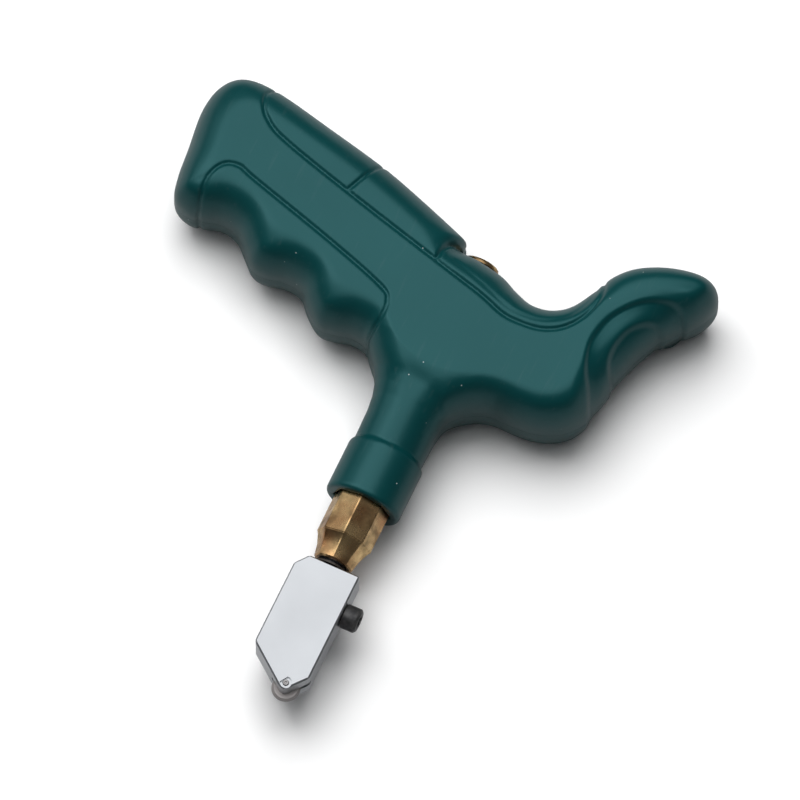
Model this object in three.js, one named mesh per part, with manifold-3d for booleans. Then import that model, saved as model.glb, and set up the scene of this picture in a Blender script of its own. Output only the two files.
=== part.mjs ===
// Pistol-grip oil-feed glass cutter, lying on its side.
// Millimetres, +Z up. The brass barrel runs along +Y with the cutting wheel at the -Y end, +Z is across
// the handle, and the origin is on the side face that the tool lies on, straight below the barrel's axis.
// Everything is drawn around the barrel's axis, and the whole group is lifted by half the handle's thickness.

import * as THREE from 'three';
import Module from 'manifold-3d';
import { mergeVertices } from 'three/addons/utils/BufferGeometryUtils.js';

// ---------------------------------------------------------------- driving dimensions

// handle
const HANDLE_THICKNESS = 25;
const HANDLE_EDGE_RADIUS = 2.5;
const GRIP_REACH = 70.8; // barrel axis to the heel of the grip
const HORN_REACH = 51.6; // barrel axis to the tip of the horn
const SHELL_WALL = 2.4;
const SEAM_GAP = 0.2; // between the two shells
const SADDLE_Y = 19.4; // where the barrel comes out between grip and horn
const COLLAR_RADIUS = 8.8;
const COLLAR_RIM_Y = -42.0;
const COLLAR_LENGTH = 13.4;
const COLLAR_CHAMFER = 0.8;
const NECK_RADIUS = 8.1;

// clearances
const FIT_GAP = 0.3; // between a piece and the hole cut for it
const SEAT_GAP = 0.1; // between two pieces stacked on one axis

// shell screws, as [x, y] on the handle
const SCREW_PLACES = [[-58, 20], [-30, 11.5], [27, 5], [41.5, 27]];
const SCREW_SHANK_RADIUS = 1.25;
const SCREW_HEAD_RADIUS = 2.6;
const SCREW_HEAD_HEIGHT = 1.8;
const SCREW_HEAD_DEPTH = 3.0; // from the handle's face down to the top of the screw head
const SCREW_TIP_COVER = 4.9; // from the tip of the screw to the far face
const SCREW_DRIVE_WIDTH = 0.8;
const SCREW_DRIVE_DEPTH = 0.9;
const BOSS_WALL = 1.9;

// brass barrel
const BARREL_FLATS = 12.0; // across the flats of the octagon
const BARREL_SHOULDER_Y = 9.0; // where the octagon ends inside the handle
const BARREL_SPIGOT_RADIUS = 4.6; // round end above the shoulder
const BARREL_SUNK = 0.3; // the spigot ends below the saddle
const RESERVOIR_RADIUS = 4.1;
const THREAD_BORE_RADIUS = 3.3;
const THREAD_DEPTH = 8.0;
const NOSE_START_Y = -51.3; // where the octagon begins to taper
const NOSE_SHOULDER_RADIUS = 4.9;
const NOSE_TIP_RADIUS = 4.45;
const NOSE_END_Y = -57.1;
const NOSE_SHOULDER_LENGTH = 2.6;
const CHAMBER_FLOOR_Y = -50.0; // bottom of the reservoir
const RETAINING_RING_THICKNESS = 1.0;
const RETAINING_RING_DEPTH = 1.2; // how far it stands out of the barrel
const RETAINING_GROOVE_DEPTH = 0.4;
const RETAINING_RING_Y = 13.0;

// oil cap
const CAP_RADIUS = 4.2;
const CAP_HEIGHT = 1.1;
const CAP_SLOT_WIDTH = 1.0;
const CAP_SLOT_DEPTH = 0.7;
const CAP_PLUG_RADIUS = 2.9;
const CAP_PLUG_LENGTH = 5.0;
const CAP_SEAL_HEIGHT = 0.4;

// oil valve
const STEM_RADIUS = 2.0;
const STEM_IN_HEAD = 12.0;
const VALVE_SEAT_Y = -38.0; // top of the seat
const VALVE_SEAT_HEIGHT = 2.4;
const VALVE_OIL_GAP = 0.4; // around the stem, through the seat
const POPPET_LAP = 1.0; // how far the poppet covers the seat
const POPPET_HEIGHT = 1.6;
const STEM_RING_WALL = 1.6;
const STEM_RING_HEIGHT = 0.8;
const SPRING_WIRE_RADIUS = 0.3;
const SPRING_TURNS = 4;
const STEM_SEAL_HEIGHT = 1.6;
const STEM_SEAL_WALL = 0.9;
const WASHER_RADIUS = 4.1;
const WASHER_THICKNESS = 0.4;
const PRESS_ROOM = 0.7; // free travel under the nose

// cutting head
const HEAD_WIDTH = 14.5;
const HEAD_LENGTH = 30.7;
const HEAD_THICKNESS = 7.8;
const HEAD_BEVEL = 0.35;
const HEAD_SIDE_LENGTH = 26.4; // straight right-hand side
const HEAD_CORNER_X = 2.4;
const HEAD_CORNER_Y = 3.0;
const HEAD_LEFT_LENGTH = 23.6;
const WHEEL_OFFSET = 3.0; // the wheel trails beside the barrel's axis
const WHEEL_RADIUS = 3.2;
const WHEEL_THICKNESS = 1.0;
const WHEEL_PROUD = 1.6; // below the head's tip
const WHEEL_EDGE = 0.4; // height of the ground bevel on the rim
const WHEEL_SLOT_SIDE_GAP = 0.15;
const WHEEL_SLOT_RIM_GAP = 0.6;
const AXLE_RADIUS = 0.7;
const WICK_RADIUS = 1.1;

// clamp screw in the head
const CLAMP_SCREW_DROP = 8.4; // below the head's top
const CLAMP_HEAD_RADIUS = 2.8;
const CLAMP_HEAD_LENGTH = 3.7;
const CLAMP_THREAD_RADIUS = 1.45;
const CLAMP_SOCKET_FLATS = 2.5;
const CLAMP_SOCKET_DEPTH = 1.9;
const CLAMP_PAD_LENGTH = 1.2;

// ---------------------------------------------------------------- worked out from the above

const HALF_THICKNESS = HANDLE_THICKNESS / 2;
const BARREL_RADIUS = BARREL_FLATS / 2 / Math.cos(Math.PI / 8);
const BARREL_TOP_Y = SADDLE_Y - BARREL_SUNK;
const COLLAR_TOP_Y = COLLAR_RIM_Y + COLLAR_LENGTH;
const HEAD_TOP_Y = NOSE_END_Y - WASHER_THICKNESS - 2 * SEAT_GAP - PRESS_ROOM;
const HEAD_TIP_Y = HEAD_TOP_Y - HEAD_LENGTH;
const WHEEL_Y = HEAD_TIP_Y - WHEEL_PROUD + WHEEL_RADIUS;
const WHEEL_SLOT_WIDTH = WHEEL_THICKNESS + 2 * WHEEL_SLOT_SIDE_GAP;
const WHEEL_SLOT_TOP_Y = WHEEL_Y + WHEEL_RADIUS + WHEEL_SLOT_RIM_GAP;
const CLAMP_SCREW_Y = HEAD_TOP_Y - CLAMP_SCREW_DROP;
const STEM_BOTTOM_Y = HEAD_TOP_Y - STEM_IN_HEAD;
const POPPET_BASE_Y = VALVE_SEAT_Y + SEAT_GAP;
const STEM_RING_BASE_Y = CHAMBER_FLOOR_Y + SEAT_GAP;
const STEM_RING_RADIUS = STEM_RADIUS + STEM_RING_WALL;
const STEM_RING_TOP_Y = STEM_RING_BASE_Y + STEM_RING_HEIGHT;
const VALVE_SEAT_HOLE_RADIUS = STEM_RADIUS + VALVE_OIL_GAP;
const POPPET_RADIUS = VALVE_SEAT_HOLE_RADIUS + POPPET_LAP;
const VALVE_SEAT_BASE_Y = VALVE_SEAT_Y - VALVE_SEAT_HEIGHT;
const RING_GROOVE_RADIUS = BARREL_SPIGOT_RADIUS - RETAINING_GROOVE_DEPTH;
const SCREW_HEAD_TOP_Z = -HALF_THICKNESS + SCREW_HEAD_DEPTH;
const SCREW_HEAD_BASE_Z = SCREW_HEAD_TOP_Z + SCREW_HEAD_HEIGHT;
const SCREW_TIP_Z = HALF_THICKNESS - SCREW_TIP_COVER;

// ---------------------------------------------------------------- materials

function finish(colour, roughness, metalness) {
  return new THREE.MeshStandardMaterial({ color: colour, roughness, metalness });
}

const GREEN_PLASTIC = [0x0f4a48, 0.42, 0.0];
const BRASS = [0xb08a4a, 0.35, 1.0];
const POLISHED_STEEL = [0xc9ccd1, 0.2, 1.0];
const PLAIN_STEEL = [0x8d9094, 0.4, 1.0];
const BLACK_OXIDE = [0x1b1c1e, 0.45, 0.6];
const CARBIDE = [0x6f6a66, 0.4, 0.8];
const BLACK_RUBBER = [0x141414, 0.8, 0.0];
const DARK_NYLON = [0x2b2622, 0.6, 0.0];
const WOOL_FELT = [0xcfc7b2, 0.95, 0.0];

// ---------------------------------------------------------------- solids and how they are cut

const wasm = await Module();
wasm.setup();

function toSolid(geometry) {
  const bare = geometry.clone();
  bare.deleteAttribute('normal');
  bare.deleteAttribute('uv');
  const merged = mergeVertices(bare);
  const vertProperties = new Float32Array(merged.getAttribute('position').array);
  const corners = merged.getIndex().array;
  const kept = [];
  for (let i = 0; i < corners.length; i += 3) {
    const [a, b, c] = corners.slice(i, i + 3);
    if (a !== b && b !== c && c !== a) kept.push(a, b, c);
  }
  const triVerts = new Uint32Array(kept);
  return new wasm.Manifold(new wasm.Mesh({ numProp: 3, vertProperties, triVerts }));
}

function toGeometry(solid) {
  const mesh = solid.getMesh();
  const geometry = new THREE.BufferGeometry();
  geometry.setAttribute('position', new THREE.BufferAttribute(mesh.vertProperties, 3));
  geometry.setIndex(new THREE.BufferAttribute(mesh.triVerts, 1));
  geometry.computeVertexNormals();
  return geometry;
}

function cut(body, ...tools) {
  return tools.reduce((left, tool) => left.subtract(tool), body);
}

function join(first, ...others) {
  return others.reduce((sum, next) => sum.add(next), first);
}

// A box between two corners.
function block(low, high) {
  const size = high.map((value, i) => value - low[i]);
  const geometry = new THREE.BoxGeometry(...size);
  geometry.translate(...low.map((value, i) => value + size[i] / 2));
  return toSolid(geometry);
}

// A round bar along Y, or an octagonal one with a corner towards +Z when sides is 8.
function barAlongY(radius, yLow, yHigh, sides = 24) {
  const geometry = new THREE.CylinderGeometry(radius, radius, yHigh - yLow, sides);
  geometry.translate(0, (yLow + yHigh) / 2, 0);
  return toSolid(geometry);
}

function barAlongX(radius, xLow, xHigh, y, sides = 20) {
  const geometry = new THREE.CylinderGeometry(radius, radius, xHigh - xLow, sides);
  geometry.rotateZ(-Math.PI / 2);
  geometry.translate((xLow + xHigh) / 2, y, 0);
  return toSolid(geometry);
}

function barAlongZ(radius, zLow, zHigh, x, y, sides = 16) {
  const geometry = new THREE.CylinderGeometry(radius, radius, zHigh - zLow, sides);
  geometry.rotateX(Math.PI / 2);
  geometry.translate(x, y, (zLow + zHigh) / 2);
  return toSolid(geometry);
}

// A ring or stepped bar turned about the barrel's axis from [radius, y] points.
function turned(profile, sides = 24) {
  const points = profile.map(([radius, y]) => new THREE.Vector2(radius, y));
  return toSolid(new THREE.LatheGeometry(points, sides));
}

function ringAlongY(inner, outer, yLow, yHigh, sides = 24) {
  return turned([[inner, yLow], [outer, yLow], [outer, yHigh], [inner, yHigh], [inner, yLow]], sides);
}

// A flat outline given thickness about the barrel's mid-plane, with its edges rounded inside the outline.
function slab(points, thickness, rounding, steps) {
  const geometry = new THREE.ExtrudeGeometry(new THREE.Shape(points), {
    depth: thickness - 2 * rounding,
    bevelEnabled: rounding > 0,
    bevelThickness: rounding,
    bevelSize: rounding,
    bevelOffset: -rounding,
    bevelSegments: steps,
  });
  geometry.translate(0, 0, -(thickness - 2 * rounding) / 2);
  return toSolid(geometry);
}

// The same closed outline drawn a fixed distance further in. The points run anticlockwise.
function insetOutline(points, distance) {
  return points.map((point, i) => {
    const before = points[(i + points.length - 1) % points.length];
    const after = points[(i + 1) % points.length];
    const inward = point.clone().sub(before).normalize();
    const outward = after.clone().sub(point).normalize();
    const normal = new THREE.Vector2(-inward.y - outward.y, inward.x + outward.x).normalize();
    const along = distance / Math.max(0.5, normal.x * -inward.y + normal.y * inward.x);
    return point.clone().addScaledVector(normal, along);
  });
}

// ---------------------------------------------------------------- handle outline

// Points on the grip and on the horn, as a share of each one's reach and a height on the barrel's axis.
const grip = (share, y) => new THREE.Vector2(-GRIP_REACH * share, y);
const horn = (share, y) => new THREE.Vector2(HORN_REACH * share, y);

// Four smooth stretches, anticlockwise, that meet at the two corners of the step behind the oil cap and
// at the two ends of the neck.
const FINGER_SIDE = [
  grip(0.07, 22.6), grip(0.24, 26.9), grip(0.40, 30.5), grip(0.62, 34.1), grip(0.81, 36.9),
  grip(0.92, 36.7), grip(0.98, 33.0), grip(1, 26.5), grip(0.985, 17.0), grip(0.974, 10.0),
  grip(0.953, 5.4), grip(0.90, 3.8), grip(0.85, 4.4), grip(0.795, 5.4), grip(0.735, 4.3),
  grip(0.68, 0.8), grip(0.64, -1.7), grip(0.595, -2.0), grip(0.53, -1.1), grip(0.47, -2.0),
  grip(0.425, -5.3), grip(0.375, -7.9), grip(0.325, -7.8), grip(0.265, -6.9), grip(0.205, -7.8),
  grip(0.15, -11.5), grip(0.10, -15.0),
];
const THUMB_SIDE = [
  horn(0.15, -16.6), horn(0.23, -12.9), horn(0.32, -10.8), horn(0.44, -10.7), horn(0.54, -10.1),
  horn(0.635, -7.8), horn(0.70, -3.8), horn(0.733, 1.6), horn(0.76, 8.4), horn(0.797, 14.8),
  horn(0.855, 20.8), horn(0.924, 25.3), horn(0.976, 29.4), horn(0.994, 33.0), horn(0.962, 35.8),
  horn(0.88, 36.7), horn(0.75, 35.3), horn(0.63, 32.2), horn(0.553, 28.1), horn(0.503, 22.7),
  horn(0.447, 17.8), horn(0.375, 15.2), horn(0.29, 14.6), horn(0.205, 16.0), horn(0.12, 18.1),
  horn(0.0, 19.4),
];

function smooth(points, samplesPerStretch) {
  return new THREE.SplineCurve(points).getPoints(samplesPerStretch * (points.length - 1));
}

function handleOutline(samplesPerStretch) {
  const strapEnd = grip(0.07, SADDLE_Y + 0.2);
  return [...smooth(FINGER_SIDE, samplesPerStretch), ...smooth(THUMB_SIDE, samplesPerStretch), strapEnd];
}

// ---------------------------------------------------------------- handle shells

// The round neck that flares from the collar into the flat body.
function neckAndCollar() {
  return turned([
    [0, COLLAR_RIM_Y],
    [COLLAR_RADIUS - COLLAR_CHAMFER, COLLAR_RIM_Y],
    [COLLAR_RADIUS, COLLAR_RIM_Y + COLLAR_CHAMFER],
    [COLLAR_RADIUS, COLLAR_TOP_Y - COLLAR_CHAMFER],
    [NECK_RADIUS, COLLAR_TOP_Y],
    [NECK_RADIUS, COLLAR_TOP_Y + 6],
    [NECK_RADIUS + 0.9, COLLAR_TOP_Y + 11],
    [NECK_RADIUS + 2.3, COLLAR_TOP_Y + 15],
    [NECK_RADIUS + 2.6, COLLAR_TOP_Y + 18],
    [0, COLLAR_TOP_Y + 18],
  ], 32);
}

// The room inside the shells, shared by the barrel's housing and the screw bosses that stay solid.
function shellHollow(outline) {
  const housing = BARREL_RADIUS + FIT_GAP + SHELL_WALL;
  const room = slab(insetOutline(outline, SHELL_WALL), HANDLE_THICKNESS - 2 * SHELL_WALL, 0, 1);
  const kept = [block([-housing, COLLAR_RIM_Y, -HALF_THICKNESS], [housing, BARREL_TOP_Y + 20, HALF_THICKNESS])];
  for (const [x, y] of SCREW_PLACES) {
    const bossRadius = SCREW_HEAD_RADIUS + FIT_GAP + BOSS_WALL;
    kept.push(barAlongZ(bossRadius, -HALF_THICKNESS, HALF_THICKNESS, x, y));
  }
  return cut(room, ...kept);
}

// Everything that the barrel and its ring need cut out of the shells.
function barrelRoom() {
  const ringRadius = BARREL_SPIGOT_RADIUS + RETAINING_RING_DEPTH + FIT_GAP;
  return join(
    barAlongY(BARREL_RADIUS + FIT_GAP, COLLAR_RIM_Y - 1, BARREL_SHOULDER_Y + FIT_GAP, 8),
    barAlongY(BARREL_SPIGOT_RADIUS + FIT_GAP, BARREL_SHOULDER_Y, SADDLE_Y + 6),
    barAlongY(
      ringRadius,
      RETAINING_RING_Y - FIT_GAP,
      RETAINING_RING_Y + RETAINING_RING_THICKNESS + FIT_GAP,
    ),
  );
}

// The holes for the shell screws: a head pocket and clearance in the lower shell, a pilot in the upper one.
function screwRoom() {
  const holes = SCREW_PLACES.map(([x, y]) => join(
    barAlongZ(SCREW_HEAD_RADIUS + FIT_GAP, -HALF_THICKNESS - 1, SCREW_HEAD_BASE_Z + SEAT_GAP, x, y),
    barAlongZ(SCREW_SHANK_RADIUS + FIT_GAP, SCREW_HEAD_TOP_Z, SCREW_TIP_Z + FIT_GAP, x, y),
  ));
  return join(...holes);
}

function handleShells() {
  const outline = handleOutline(3);
  const body = join(slab(outline, HANDLE_THICKNESS, HANDLE_EDGE_RADIUS, 3), neckAndCollar());
  const hollowed = cut(body, shellHollow(outline), barrelRoom(), screwRoom());
  const reach = 2 * (GRIP_REACH + HORN_REACH);
  const above = block([-reach, -reach, -SEAM_GAP / 2], [reach, reach, HANDLE_THICKNESS]);
  const below = block([-reach, -reach, -HANDLE_THICKNESS], [reach, reach, SEAM_GAP / 2]);
  return { upper: cut(hollowed, below), lower: cut(hollowed, above) };
}

function shellScrew([x, y]) {
  const body = join(
    barAlongZ(SCREW_HEAD_RADIUS, SCREW_HEAD_TOP_Z, SCREW_HEAD_BASE_Z, x, y),
    barAlongZ(SCREW_SHANK_RADIUS, SCREW_HEAD_BASE_Z - SEAT_GAP, SCREW_TIP_Z, x, y, 12),
  );
  const arm = SCREW_HEAD_RADIUS * 0.6;
  const half = SCREW_DRIVE_WIDTH / 2;
  const mouth = SCREW_HEAD_TOP_Z - 1;
  const floor = SCREW_HEAD_TOP_Z + SCREW_DRIVE_DEPTH;
  return cut(
    body,
    block([x - arm, y - half, mouth], [x + arm, y + half, floor]),
    block([x - half, y - arm, mouth], [x + half, y + arm, floor]),
  );
}

// ---------------------------------------------------------------- barrel and oil cap

function oilBarrel() {
  const shoulderY = NOSE_START_Y - NOSE_SHOULDER_LENGTH;
  const envelope = turned([
    [0, NOSE_END_Y],
    [NOSE_TIP_RADIUS, NOSE_END_Y],
    [NOSE_SHOULDER_RADIUS, shoulderY],
    [BARREL_RADIUS + SEAT_GAP, NOSE_START_Y],
    [BARREL_RADIUS + SEAT_GAP, BARREL_SHOULDER_Y],
    [BARREL_SPIGOT_RADIUS, BARREL_SHOULDER_Y],
    [BARREL_SPIGOT_RADIUS, BARREL_TOP_Y],
    [0, BARREL_TOP_Y],
  ], 32);
  const bar = envelope.intersect(barAlongY(BARREL_RADIUS, NOSE_END_Y - 1, BARREL_TOP_Y + 1, 8));
  const threadBase = BARREL_TOP_Y - THREAD_DEPTH;
  const bore = turned([
    [0, CHAMBER_FLOOR_Y],
    [RESERVOIR_RADIUS, CHAMBER_FLOOR_Y],
    [RESERVOIR_RADIUS, BARREL_SHOULDER_Y - 2],
    [THREAD_BORE_RADIUS, threadBase],
    [THREAD_BORE_RADIUS, BARREL_TOP_Y + 1],
    [0, BARREL_TOP_Y + 1],
  ]);
  const stemHole = barAlongY(STEM_RADIUS + FIT_GAP, NOSE_END_Y - 1, CHAMBER_FLOOR_Y + 1);
  const sealPocket = barAlongY(
    STEM_RADIUS + STEM_SEAL_WALL + 2 * FIT_GAP,
    NOSE_END_Y - 1,
    NOSE_END_Y + STEM_SEAL_HEIGHT + FIT_GAP,
  );
  const ringGroove = ringAlongY(
    RING_GROOVE_RADIUS,
    BARREL_SPIGOT_RADIUS + 1,
    RETAINING_RING_Y - SEAT_GAP,
    RETAINING_RING_Y + RETAINING_RING_THICKNESS + SEAT_GAP,
  );
  return cut(bar, bore, stemHole, sealPocket, ringGroove);
}

function barrelRetainingRing() {
  const top = RETAINING_RING_Y + RETAINING_RING_THICKNESS;
  const outer = BARREL_SPIGOT_RADIUS + RETAINING_RING_DEPTH;
  const ring = ringAlongY(RING_GROOVE_RADIUS + SEAT_GAP, outer, RETAINING_RING_Y, top);
  const opening = block([-1.2, RETAINING_RING_Y - 1, -outer - 1], [1.2, top + 1, 0]);
  return cut(ring, opening);
}

function oilCap() {
  const seat = BARREL_TOP_Y + CAP_SEAL_HEIGHT + 2 * SEAT_GAP;
  const top = seat + CAP_HEIGHT;
  const body = turned([
    [0, seat - CAP_PLUG_LENGTH],
    [CAP_PLUG_RADIUS - 0.4, seat - CAP_PLUG_LENGTH],
    [CAP_PLUG_RADIUS, seat - CAP_PLUG_LENGTH + 0.4],
    [CAP_PLUG_RADIUS, seat],
    [CAP_RADIUS, seat],
    [CAP_RADIUS, top - 0.3],
    [CAP_RADIUS - 0.3, top],
    [0, top],
  ]);
  const half = CAP_SLOT_WIDTH / 2;
  return cut(body, block([-CAP_RADIUS - 1, top - CAP_SLOT_DEPTH, -half], [CAP_RADIUS + 1, top + 1, half]));
}

function oilCapSeal() {
  const base = BARREL_TOP_Y + SEAT_GAP;
  return ringAlongY(CAP_PLUG_RADIUS + SEAT_GAP, CAP_RADIUS - 0.2, base, base + CAP_SEAL_HEIGHT);
}

// ---------------------------------------------------------------- oil valve on the stem

function valveSeat() {
  const outer = RESERVOIR_RADIUS - SEAT_GAP;
  return ringAlongY(VALVE_SEAT_HOLE_RADIUS, outer, VALVE_SEAT_BASE_Y, VALVE_SEAT_Y);
}

function valvePoppet() {
  const bore = STEM_RADIUS + SEAT_GAP;
  return turned([
    [bore, POPPET_BASE_Y],
    [POPPET_RADIUS, POPPET_BASE_Y],
    [POPPET_RADIUS, POPPET_BASE_Y + POPPET_HEIGHT / 2],
    [bore + 0.5, POPPET_BASE_Y + POPPET_HEIGHT],
    [bore, POPPET_BASE_Y + POPPET_HEIGHT],
    [bore, POPPET_BASE_Y],
  ]);
}

function stemRetainingRing() {
  return ringAlongY(STEM_RADIUS + SEAT_GAP, STEM_RING_RADIUS, STEM_RING_BASE_Y, STEM_RING_TOP_Y);
}

// A coil of wire between the stem's ring and the valve seat.
function valveSpring() {
  const low = STEM_RING_TOP_Y + SEAT_GAP + SPRING_WIRE_RADIUS;
  const high = VALVE_SEAT_BASE_Y - SEAT_GAP - SPRING_WIRE_RADIUS;
  const radius = STEM_RADIUS + FIT_GAP + SPRING_WIRE_RADIUS + 0.2;
  class Helix extends THREE.Curve {
    getPoint(t) {
      const angle = 2 * Math.PI * SPRING_TURNS * t;
      return new THREE.Vector3(radius * Math.cos(angle), low + (high - low) * t, radius * Math.sin(angle));
    }
  }
  const wire = new THREE.Shape();
  wire.absarc(0, 0, SPRING_WIRE_RADIUS, 0, 2 * Math.PI, false);
  const geometry = new THREE.ExtrudeGeometry(wire, {
    steps: 14 * SPRING_TURNS,
    curveSegments: 3,
    extrudePath: new Helix(),
  });
  return toSolid(geometry);
}

function stem() {
  const top = POPPET_BASE_Y + POPPET_HEIGHT;
  return turned([
    [0, STEM_BOTTOM_Y],
    [STEM_RADIUS - 0.3, STEM_BOTTOM_Y],
    [STEM_RADIUS, STEM_BOTTOM_Y + 0.3],
    [STEM_RADIUS, top - 0.3],
    [STEM_RADIUS - 0.3, top],
    [0, top],
  ], 20);
}

function stemSeal() {
  const inner = STEM_RADIUS + FIT_GAP;
  return ringAlongY(inner, inner + STEM_SEAL_WALL, NOSE_END_Y, NOSE_END_Y + STEM_SEAL_HEIGHT, 20);
}

function swivelWasher() {
  const base = HEAD_TOP_Y + SEAT_GAP;
  return ringAlongY(STEM_RADIUS + SEAT_GAP, WASHER_RADIUS, base, base + WASHER_THICKNESS);
}

// ---------------------------------------------------------------- cutting head

function headOutline() {
  const half = HEAD_WIDTH / 2;
  const tipX = WHEEL_OFFSET;
  const corners = [
    [-half + HEAD_CORNER_X, HEAD_TOP_Y],
    [-half, HEAD_TOP_Y - HEAD_CORNER_Y],
    [-half, HEAD_TOP_Y - HEAD_LEFT_LENGTH + 0.8],
    [-half + 0.5, HEAD_TOP_Y - HEAD_LEFT_LENGTH],
    [tipX - 1.3, HEAD_TIP_Y + 0.5],
    [tipX - 0.5, HEAD_TIP_Y],
    [tipX + 0.5, HEAD_TIP_Y],
    [half, HEAD_TOP_Y - HEAD_SIDE_LENGTH],
    [half, HEAD_TOP_Y],
  ];
  return corners.map(([x, y]) => new THREE.Vector2(x, y));
}

function headBody() {
  const plate = slab(headOutline(), HEAD_THICKNESS, HEAD_BEVEL, 1);
  const slotReach = WHEEL_RADIUS + WHEEL_SLOT_RIM_GAP;
  const slotHalf = WHEEL_SLOT_WIDTH / 2;
  const right = HEAD_WIDTH / 2 + 1;
  return cut(
    plate,
    barAlongY(STEM_RADIUS + FIT_GAP, STEM_BOTTOM_Y - FIT_GAP, HEAD_TOP_Y + 1, 20),
    barAlongY(WICK_RADIUS + FIT_GAP, WHEEL_SLOT_TOP_Y - 1, STEM_BOTTOM_Y, 12),
    block(
      [WHEEL_OFFSET - slotReach, HEAD_TIP_Y - 1, -slotHalf],
      [WHEEL_OFFSET + slotReach, WHEEL_SLOT_TOP_Y, slotHalf],
    ),
    barAlongX(CLAMP_THREAD_RADIUS + FIT_GAP, 0, right, CLAMP_SCREW_Y, 16),
    barAlongZ(AXLE_RADIUS + SEAT_GAP, -HEAD_THICKNESS, HEAD_THICKNESS, WHEEL_OFFSET, WHEEL_Y),
  );
}

function oilWick() {
  return barAlongY(WICK_RADIUS, WHEEL_SLOT_TOP_Y + SEAT_GAP, STEM_BOTTOM_Y - SEAT_GAP, 12);
}

function clampScrew() {
  const seat = HEAD_WIDTH / 2 + SEAT_GAP;
  const end = seat + CLAMP_HEAD_LENGTH;
  const tip = STEM_RADIUS + CLAMP_PAD_LENGTH + 2 * SEAT_GAP + FIT_GAP;
  const socketRadius = CLAMP_SOCKET_FLATS / Math.sqrt(3);
  return cut(
    join(
      barAlongX(CLAMP_HEAD_RADIUS, seat, end, CLAMP_SCREW_Y, 28),
      barAlongX(CLAMP_THREAD_RADIUS, tip, seat + 1, CLAMP_SCREW_Y, 16),
    ),
    barAlongX(socketRadius, end - CLAMP_SOCKET_DEPTH, end + 1, CLAMP_SCREW_Y, 6),
  );
}

function clampPad() {
  const start = STEM_RADIUS + SEAT_GAP + FIT_GAP;
  return barAlongX(CLAMP_THREAD_RADIUS, start, start + CLAMP_PAD_LENGTH, CLAMP_SCREW_Y, 16);
}

// ---------------------------------------------------------------- wheel and axle, in the wheel's own frame

function cuttingWheel() {
  const half = WHEEL_THICKNESS / 2;
  const bore = AXLE_RADIUS + SEAT_GAP;
  return turned([
    [bore, -half],
    [WHEEL_RADIUS - WHEEL_EDGE, -half],
    [WHEEL_RADIUS, -0.05],
    [WHEEL_RADIUS, 0.05],
    [WHEEL_RADIUS - WHEEL_EDGE, half],
    [bore, half],
    [bore, -half],
  ], 36);
}

function wheelAxle() {
  const half = HEAD_THICKNESS / 2 - 0.2;
  return turned([[0, -half], [AXLE_RADIUS, -half], [AXLE_RADIUS, half], [0, half]], 16);
}

// ---------------------------------------------------------------- assembly

const cutter = new THREE.Group();
cutter.position.z = HALF_THICKNESS;

function addPiece(parent, name, solid, look) {
  const mesh = new THREE.Mesh(toGeometry(solid), finish(...look));
  mesh.name = name;
  parent.add(mesh);
}

const shells = handleShells();
addPiece(cutter, 'handle_shell_upper', shells.upper, GREEN_PLASTIC);
addPiece(cutter, 'handle_shell_lower', shells.lower, GREEN_PLASTIC);
SCREW_PLACES.forEach((place, i) => {
  addPiece(cutter, `shell_screw_${i + 1}`, shellScrew(place), PLAIN_STEEL);
});

addPiece(cutter, 'oil_barrel', oilBarrel(), BRASS);
addPiece(cutter, 'barrel_retaining_ring', barrelRetainingRing(), PLAIN_STEEL);
addPiece(cutter, 'oil_cap', oilCap(), BRASS);
addPiece(cutter, 'oil_cap_seal', oilCapSeal(), BLACK_RUBBER);

addPiece(cutter, 'valve_seat', valveSeat(), BRASS);
addPiece(cutter, 'valve_poppet', valvePoppet(), BLACK_RUBBER);
addPiece(cutter, 'valve_spring', valveSpring(), PLAIN_STEEL);
addPiece(cutter, 'stem_retaining_ring', stemRetainingRing(), PLAIN_STEEL);
addPiece(cutter, 'stem_seal', stemSeal(), BLACK_RUBBER);
addPiece(cutter, 'stem', stem(), PLAIN_STEEL);
addPiece(cutter, 'swivel_washer', swivelWasher(), DARK_NYLON);

addPiece(cutter, 'head_body', headBody(), POLISHED_STEEL);
addPiece(cutter, 'oil_wick', oilWick(), WOOL_FELT);
addPiece(cutter, 'clamp_screw', clampScrew(), BLACK_OXIDE);
addPiece(cutter, 'clamp_pad', clampPad(), BRASS);

const wheelMount = new THREE.Group();
wheelMount.position.set(WHEEL_OFFSET, WHEEL_Y, 0);
wheelMount.rotation.x = Math.PI / 2;
addPiece(wheelMount, 'cutting_wheel', cuttingWheel(), CARBIDE);
addPiece(wheelMount, 'wheel_axle', wheelAxle(), PLAIN_STEEL);
cutter.add(wheelMount);

export default cutter;
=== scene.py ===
"""Looks of a pistol-grip, oil-feed glass cutter that lies on the side of its handle.

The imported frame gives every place. Builders draw around the barrel's axis in millimetres, and a mesh is
scaled to metres and lifted to the axis once, when it becomes a piece.
"""

import logging
import math
from collections.abc import Sequence
from dataclasses import dataclass, field
from enum import Enum
from typing import Protocol

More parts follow.
